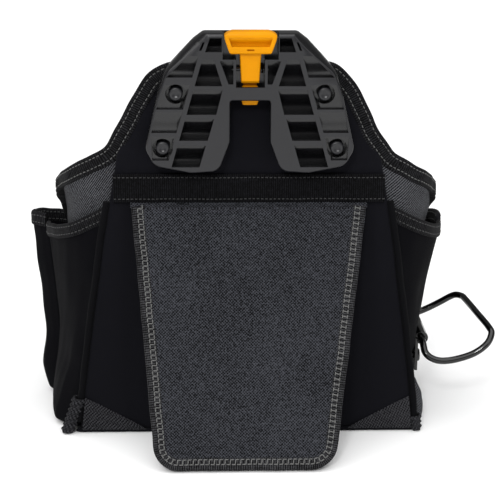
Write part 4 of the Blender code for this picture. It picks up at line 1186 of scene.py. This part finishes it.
def soften(obj, width):
    """Rounds an object's sharp edges."""
    weld = obj.modifiers.new("weld", "WELD")
    weld.merge_threshold = 0.02 * MM
    edge = obj.modifiers.new("edges", "BEVEL")
    edge.width = width * MM
    edge.segments = 2
    edge.limit_method = "ANGLE"
    edge.angle_limit = math.radians(34)
    edge.harden_normals = True


def scoop(name, corners, shallow, deep, face=HUB_FACE_Y):
    """A cutter for one cell, whose floor curves down from `shallow` at the top to `deep` near the bottom."""
    upper_in, upper_out, lower_out, lower_in = (np.array(c) for c in corners)
    rings = []
    for down in np.linspace(0.0, 1.0, 13):
        inner, outer = upper_in + (lower_in - upper_in) * down, upper_out + (lower_out - upper_out) * down
        share = (1 - math.cos(math.pi * min(1.0, down / 0.86))) / 2
        front, back = face - 2, face + shallow + share * (deep - shallow)
        rings.append([
            (inner[0], front, inner[1]), (outer[0], front, outer[1]),
            (outer[0], back, outer[1]), (inner[0], back, inner[1]),
        ])
    return solid(name, rings)


def rib_x(z):
    """Inner edge of the long rib that divides each leg's inner cells from its outer ones."""
    return 33.0 + 20.0 * (272.0 - z) / 70.0


RIB_W = 3.2
INNER_CELLS = (  # heights and inner edges at the top and the bottom of each cell
    (275.0, 24.4, 257.2, 18.9), (254.4, 18.6, 237.8, 22.8), (234.9, 24.2, 220.0, 28.5), (216.6, 29.8, 201.6, 34.2),
)
OUTER_CELLS = (  # heights, outer edges and depth of the arched floors beside the edge
    (277.4, 41.4, 263.0, 56.2, 5.8), (258.0, 57.6, 241.4, 63.0, 3.6), (239.6, 63.4, 225.4, 66.4, 4.2),
    (222.8, 66.8, 206.4, 66.0, 3.2),
)
SMALL_CELLS = (  # corners from the upper inner one round, then the depths at the top and the bottom
    (((19.2, 289.6), (27.0, 289.6), (30.2, 280.0), (19.2, 280.0)), 5.0, 11.5),
    (((30.4, 286.6), (31.8, 286.6), (34.2, 281.0), (32.6, 281.0)), 3.0, 7.0),
    (((11.4, 274.0), (20.4, 274.0), (14.6, 258.4), (11.4, 258.4)), 6.5, 11.5),
    (((41.4, 255.0), (43.4, 255.0), (47.4, 241.8), (45.4, 241.8)), 4.5, 9.0),
    (((51.2, 221.6), (52.6, 221.6), (56.4, 206.8), (55.4, 206.8)), 4.0, 8.0),
)


def hub_cells(side):
    """Cutters for the cells of one leg."""
    cells = []
    for high, high_x, low, low_x in INNER_CELLS:
        cells.append((((high_x, high), (rib_x(high), high), (rib_x(low), low), (low_x, low)), 2.2, 12.0))
    for high, high_x, low, low_x, deep in OUTER_CELLS:
        top, foot = rib_x(high) + RIB_W, rib_x(low) + RIB_W
        cells.append((((top, high), (high_x, high), (low_x, low), (foot, low)), 0.3, deep))
    return [
        scoop(f"cell_{side}_{i}", [(side * x, z) for x, z in corners], shallow, deep)
        for i, (corners, shallow, deep) in enumerate(cells + list(SMALL_CELLS))
    ]


HUB_PROFILE = (  # y, share of the way from the rear outline to the front one, inset
    (HUB_BACK_Y, 0.0, 0.4), (HUB_BACK_Y - 0.4, 0.0, 0.0), (-66.0, 0.0, 0.0), (-69.0, 0.08, 0.0),
    (-71.6, 0.26, 0.0), (-73.6, 0.52, 0.0), (-75.0, 0.8, 0.15), (-75.6, 0.92, 0.45), (HUB_FACE_Y, 1.0, 1.0),
)


def make_hub():
    rear, front = hub_outline(0), hub_outline(1)
    rings = []
    for y, share, inset in HUB_PROFILE:
        moved = inset_outline(rear + (front - rear) * share, inset)
        rings.append(np.stack([moved[:, 0], np.full(len(moved), y), moved[:, 1]], -1))
    hub = solid("latch_hub", rings)
    # Faces behind the front face, the shoulders included, get the darker copy: painted shade.
    gloss_and_shade(hub.data, HUB_FACE_Y + 0.2)
    floor, proud = HUB_BACK_Y - 3.0, HUB_FACE_Y - 2.0
    cutters = []
    for side in (-1, 1):
        cutters += hub_cells(side)
        for k, (x, z) in enumerate(RIVETS):
            ends = (side * x, proud, z), (side * x, floor, z)
            cutters.append(round_bar(f"peg_recess_{side}_{k}", *ends, PEG_RECESS_R))
    cutters += [
        box("lever_well", (-LEVER_WELL, proud, CROSSBAR_HIGH), (LEVER_WELL, floor, 278.0)),
        box("lever_tunnel", (-LEVER_WELL, HUB_FACE_Y + 3, CROSSBAR_LOW - 3), (LEVER_WELL, floor, 262.0)),
        box("head_notch", (-18.6, proud, 275.0), (18.6, floor, HUB_TOP_Z + 3)),
    ]
    # The cut cells, peg recesses and lever well take the cutters' darker copy: painted shade.
    for cutter in cutters:
        gloss_and_shade(cutter.data)
    carve(hub, cutters, 0.4)
    place(hub, "pouch", "hub_plastic", "hub_plate")
    for side, label in ((-1, "left"), (1, "right")):
        for (x, z), height in zip(RIVETS, ("upper", "lower")):
            make_peg(f"{label}_{height}_hub_peg", side * x, z, f"{label}_{height}_hub_rivet")


def ring(x, z, radius, y):
    """A circle in x and z."""
    angle = np.linspace(0, 2 * np.pi, BAR_SIDES, endpoint=False)
    return np.stack([x + radius * np.cos(angle), np.full(BAR_SIDES, y), z + radius * np.sin(angle)], -1)


def make_peg(name, x, z, node):
    """A hub rivet: a chamfered head with a shallow dimple, its shank and its tail flange inside the pouch."""
    head = HUB_BACK_Y - 3.3
    profile = (
        (head - 9.6, 0.6), (head - 9.6, 1.7), (head - 10.1, 2.3), (head - 10.2, 3.5), (head - 9.9, 4.1),
        (head - 9.2, 4.6), (head - 8.6, 4.75), (head, 4.8), (head, 2.2), (-55.0, 2.2), (-55.0, 4.8),
        (-53.8, 4.8), (-53.4, 4.3), (-53.4, 0.6),
    )
    peg = solid(name, [ring(x, z, radius, y) for y, radius in profile])
    place(peg, "pouch", "hub_plastic", node)


LATCH_STATIONS = (  # height above the pin, half-width, y of the rear side and of the pouch side from the pin
    (-24.4, 4.8, -0.4, 1.6), (-23.4, 5.2, -1.0, 2.0), (-19.6, 6.0, -1.6, 2.6), (-13.0, 6.0, -1.4, 2.6),
    (-11.4, 4.6, 0.6, 2.6), (-9.2, 4.6, 0.6, 2.6), (-8.9, 6.0, -3.6, 2.6), (-7.4, 6.2, -5.0, 2.6),
    (0.0, 6.6, -5.2, 2.6), (11.0, 7.2, -5.4, 2.6), (11.3, 13.4, -8.0, 1.4), (12.1, 14.2, -8.9, 1.4),
    (14.0, 14.9, -9.3, 1.4), (16.4, 15.7, -9.5, 1.4), (19.5, 16.8, -9.7, 1.4), (22.0, 17.4, -9.9, 1.4),
    (23.6, 17.5, -10.0, 1.4), (24.8, 16.2, -9.8, 1.2), (25.8, 14.2, -9.2, 0.9), (26.3, 12.6, -8.4, 0.6),
)


def rounded_box_ring(half, rear, near, z):
    """A section of the latch lever: a rectangle in x and y with rounded corners, five points to a corner."""
    r = min(1.1, half * 0.3, (near - rear) * 0.3)
    left, right, back, front = -half + r, half - r, rear + r, near - r
    corners = ((left, back, 180), (right, back, 270), (right, front, 0), (left, front, 90))
    turns = [(x, y, math.radians(start + k * 22.5)) for x, y, start in corners for k in range(5)]
    return [(x + r * math.cos(turn), PIN_Y + y + r * math.sin(turn), PIN_Z + z) for x, y, turn in turns]


def make_latch():
    """The orange lever: a stem over its cross pin, a wide head with a finger grip, and a notched tail."""
    rings = [rounded_box_ring(half, rear, near, z) for z, half, rear, near in LATCH_STATIONS]
    lever = solid("latch_lever_cap", rings, ORANGE)
    slot = box("slot", (-2.4, PIN_Y - 12, PIN_Z + 13.5), (2.4, PIN_Y - 7.6, PIN_Z + 14.6))
    grip = ((-14.6, PIN_Z + 22.4), (14.6, PIN_Z + 22.4), (12.6, PIN_Z + 16.2), (-12.6, PIN_Z + 16.2))
    grip = scoop("grip", grip, 0.3, 4.6, face=PIN_Y - 9.7)
    bore = round_bar("bore", (-9, PIN_Y, PIN_Z), (9, PIN_Y, PIN_Z), 1.56)
    carve(lever, [slot, bore, grip], 0.28)
    lever.data.materials.clear()
    lever.data.materials.append(ORANGE)
    place(lever, "latch", "latch_plastic", "latch_lever")


# ---- hammer loop ------------------------------------------------------------------------------------------


LOOP_ROUTE = (  # the wire's middle, from one end in the bracket's barrel round to the other
    (BARREL_X, -7, BARREL_Z), (BARREL_X, -24, BARREL_Z), (BARREL_X, -31.5, 56.6), (131.2, -36.8, 52),
    (135.4, -38.8, 48.4), (142.4, -39.4, 46.4), (153, -39.4, 47.4), (166.4, -39, 51.8), (176.0, -37.2, 58.4),
    (180.4, -31, 64.0), (179.8, -23, 66.6), (175.2, 0, 69.4), (170.4, 24, 72), (168.2, 31.4, 72.6),
    (162.8, 36.6, 71.4), (152.4, 38.6, 64.9), (144, 38.8, 60.4), (137.4, 38, 57.8), (132, 34.6, 57.4),
    (BARREL_X, 29.6, BARREL_Z), (BARREL_X, 24, BARREL_Z), (BARREL_X, 7, BARREL_Z),
)


def make_hammer_loop():
    loop = tube("hammer_loop_wire", smooth_curve(LOOP_ROUTE, 9), WIRE_R, WIRE, sides=24)
    place(loop, "hammer_loop", "dark_steel", "hammer_loop")


CARRIED = {  # CAD pieces shown as they are: their finish and the width of their rounded edges
    "base_board": (BOARD, 0.5), "hub_backing_plate": (BOARD, 0.4), "kickstand_board": (BOARD, 0.3),
    # The latch pin has the black wire finish so that it shows as the dark shade beside the lever stem: painted
    # shade.
    "latch_pin": (WIRE, 0.2), "latch_spring": (WIRE, 0.0), "loop_bracket": (WIRE, 0.4),
    "loop_backing_plate": (STEEL, 0.3), "loop_rivet_1": (WIRE, 0.3), "loop_rivet_2": (WIRE, 0.3),
}


def dress_carried():
    """Gives each CAD piece that is shown its finish and rounds its edges."""
    for name, (material, bevel) in CARRIED.items():
        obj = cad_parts[name]
        for slot in obj.material_slots:
            slot.material = material
        if not obj.material_slots:
            obj.data.materials.append(material)
        if bevel:
            soften(obj, bevel)


# ---- stage -------------------------------------------------------------------------------------------------


STAGE_REACH = 40000
CENTRE = Vector((0.0, 0.0, 0.12))  # what the lamps aim at, in metres
LAMPS = (  # name, place in metres, size in metres, watts
    ("key", (-0.35, -1.9, 1.35), 0.32, 16.0),
    ("fill", (1.9, -1.4, 0.9), 1.4, 5.0),
)
CAMERA_AZIMUTH, CAMERA_ELEVATION, CAMERA_ROLL = (math.radians(angle) for angle in (2.0, 17.0, 0.4))
CAMERA_TARGET, CAMERA_DISTANCE, CAMERA_LENS = (1.0, REAR_Y, 138.2), 1.05, 108.0


def make_stage():
    paper = Shader("studio_paper", 0.9, Specular_IOR_Level=0.1)
    paper.ramp(paper.noise(3.0), (0.3, (0.93, 0.93, 0.93)), (0.7, (0.95, 0.95, 0.95)))
    corners = [(STAGE_REACH * x, STAGE_REACH * y, 0) for x, y in ((-1, -1), (1, -1), (1, 1), (-1, 1))]
    new_object("floor", corners, [(0, 1, 2, 3)], paper.material)


def add_light(kind, name, energy):
    light = bpy.data.lights.new(name, kind)
    light.energy = energy
    obj = bpy.data.objects.new(name, light)
    SCENE.collection.objects.link(obj)
    return light, obj


def light_studio():
    """A broad overhead light, a small key and a soft fill, on a dim white world."""
    world = bpy.data.worlds.new("studio")
    SCENE.world = world
    world.use_nodes = True
    background = world.node_tree.nodes["Background"]
    background.inputs["Color"].default_value = (1.0, 1.0, 1.0, 1.0)
    background.inputs["Strength"].default_value = 0.16
    sun, obj = add_light("SUN", "overhead", 3.5)
    sun.angle = math.radians(95.0)
    obj.rotation_euler = (math.radians(20.0), math.radians(-6.0), 0.0)
    for name, spot, size, power in LAMPS:
        lamp, obj = add_light("AREA", name, power)
        lamp.shape = "DISK"
        lamp.size = size
        obj.location = spot
        obj.rotation_euler = (CENTRE - Vector(spot)).to_track_quat("-Z", "Y").to_euler()
    SCENE.view_settings.view_transform = "Standard"


def make_camera():
    """The camera, a little to the left of square on, looking down at the back."""
    camera = bpy.data.cameras.new("camera")
    camera.lens = CAMERA_LENS
    camera.sensor_width = 36.0
    obj = bpy.data.objects.new("camera", camera)
    SCENE.collection.objects.link(obj)
    level, drop = math.cos(CAMERA_ELEVATION), -math.sin(CAMERA_ELEVATION)
    forward = Vector((math.sin(CAMERA_AZIMUTH) * level, math.cos(CAMERA_AZIMUTH) * level, drop))
    obj.location = Vector(CAMERA_TARGET) * MM - forward * CAMERA_DISTANCE
    turn = forward.to_track_quat("-Z", "Y").to_matrix() @ Matrix.Rotation(CAMERA_ROLL, 3, "Z")
    obj.rotation_euler = turn.to_euler()
    SCENE.camera = obj


make_camera()
light_studio()
make_stage()
make_back()
make_side_walls()
make_front()
make_base()
make_rims()
make_pipings()
make_side_pockets()
make_front_pockets()
make_guards()
make_kickstand()
make_hub()
make_latch()
make_hammer_loop()
dress_carried()
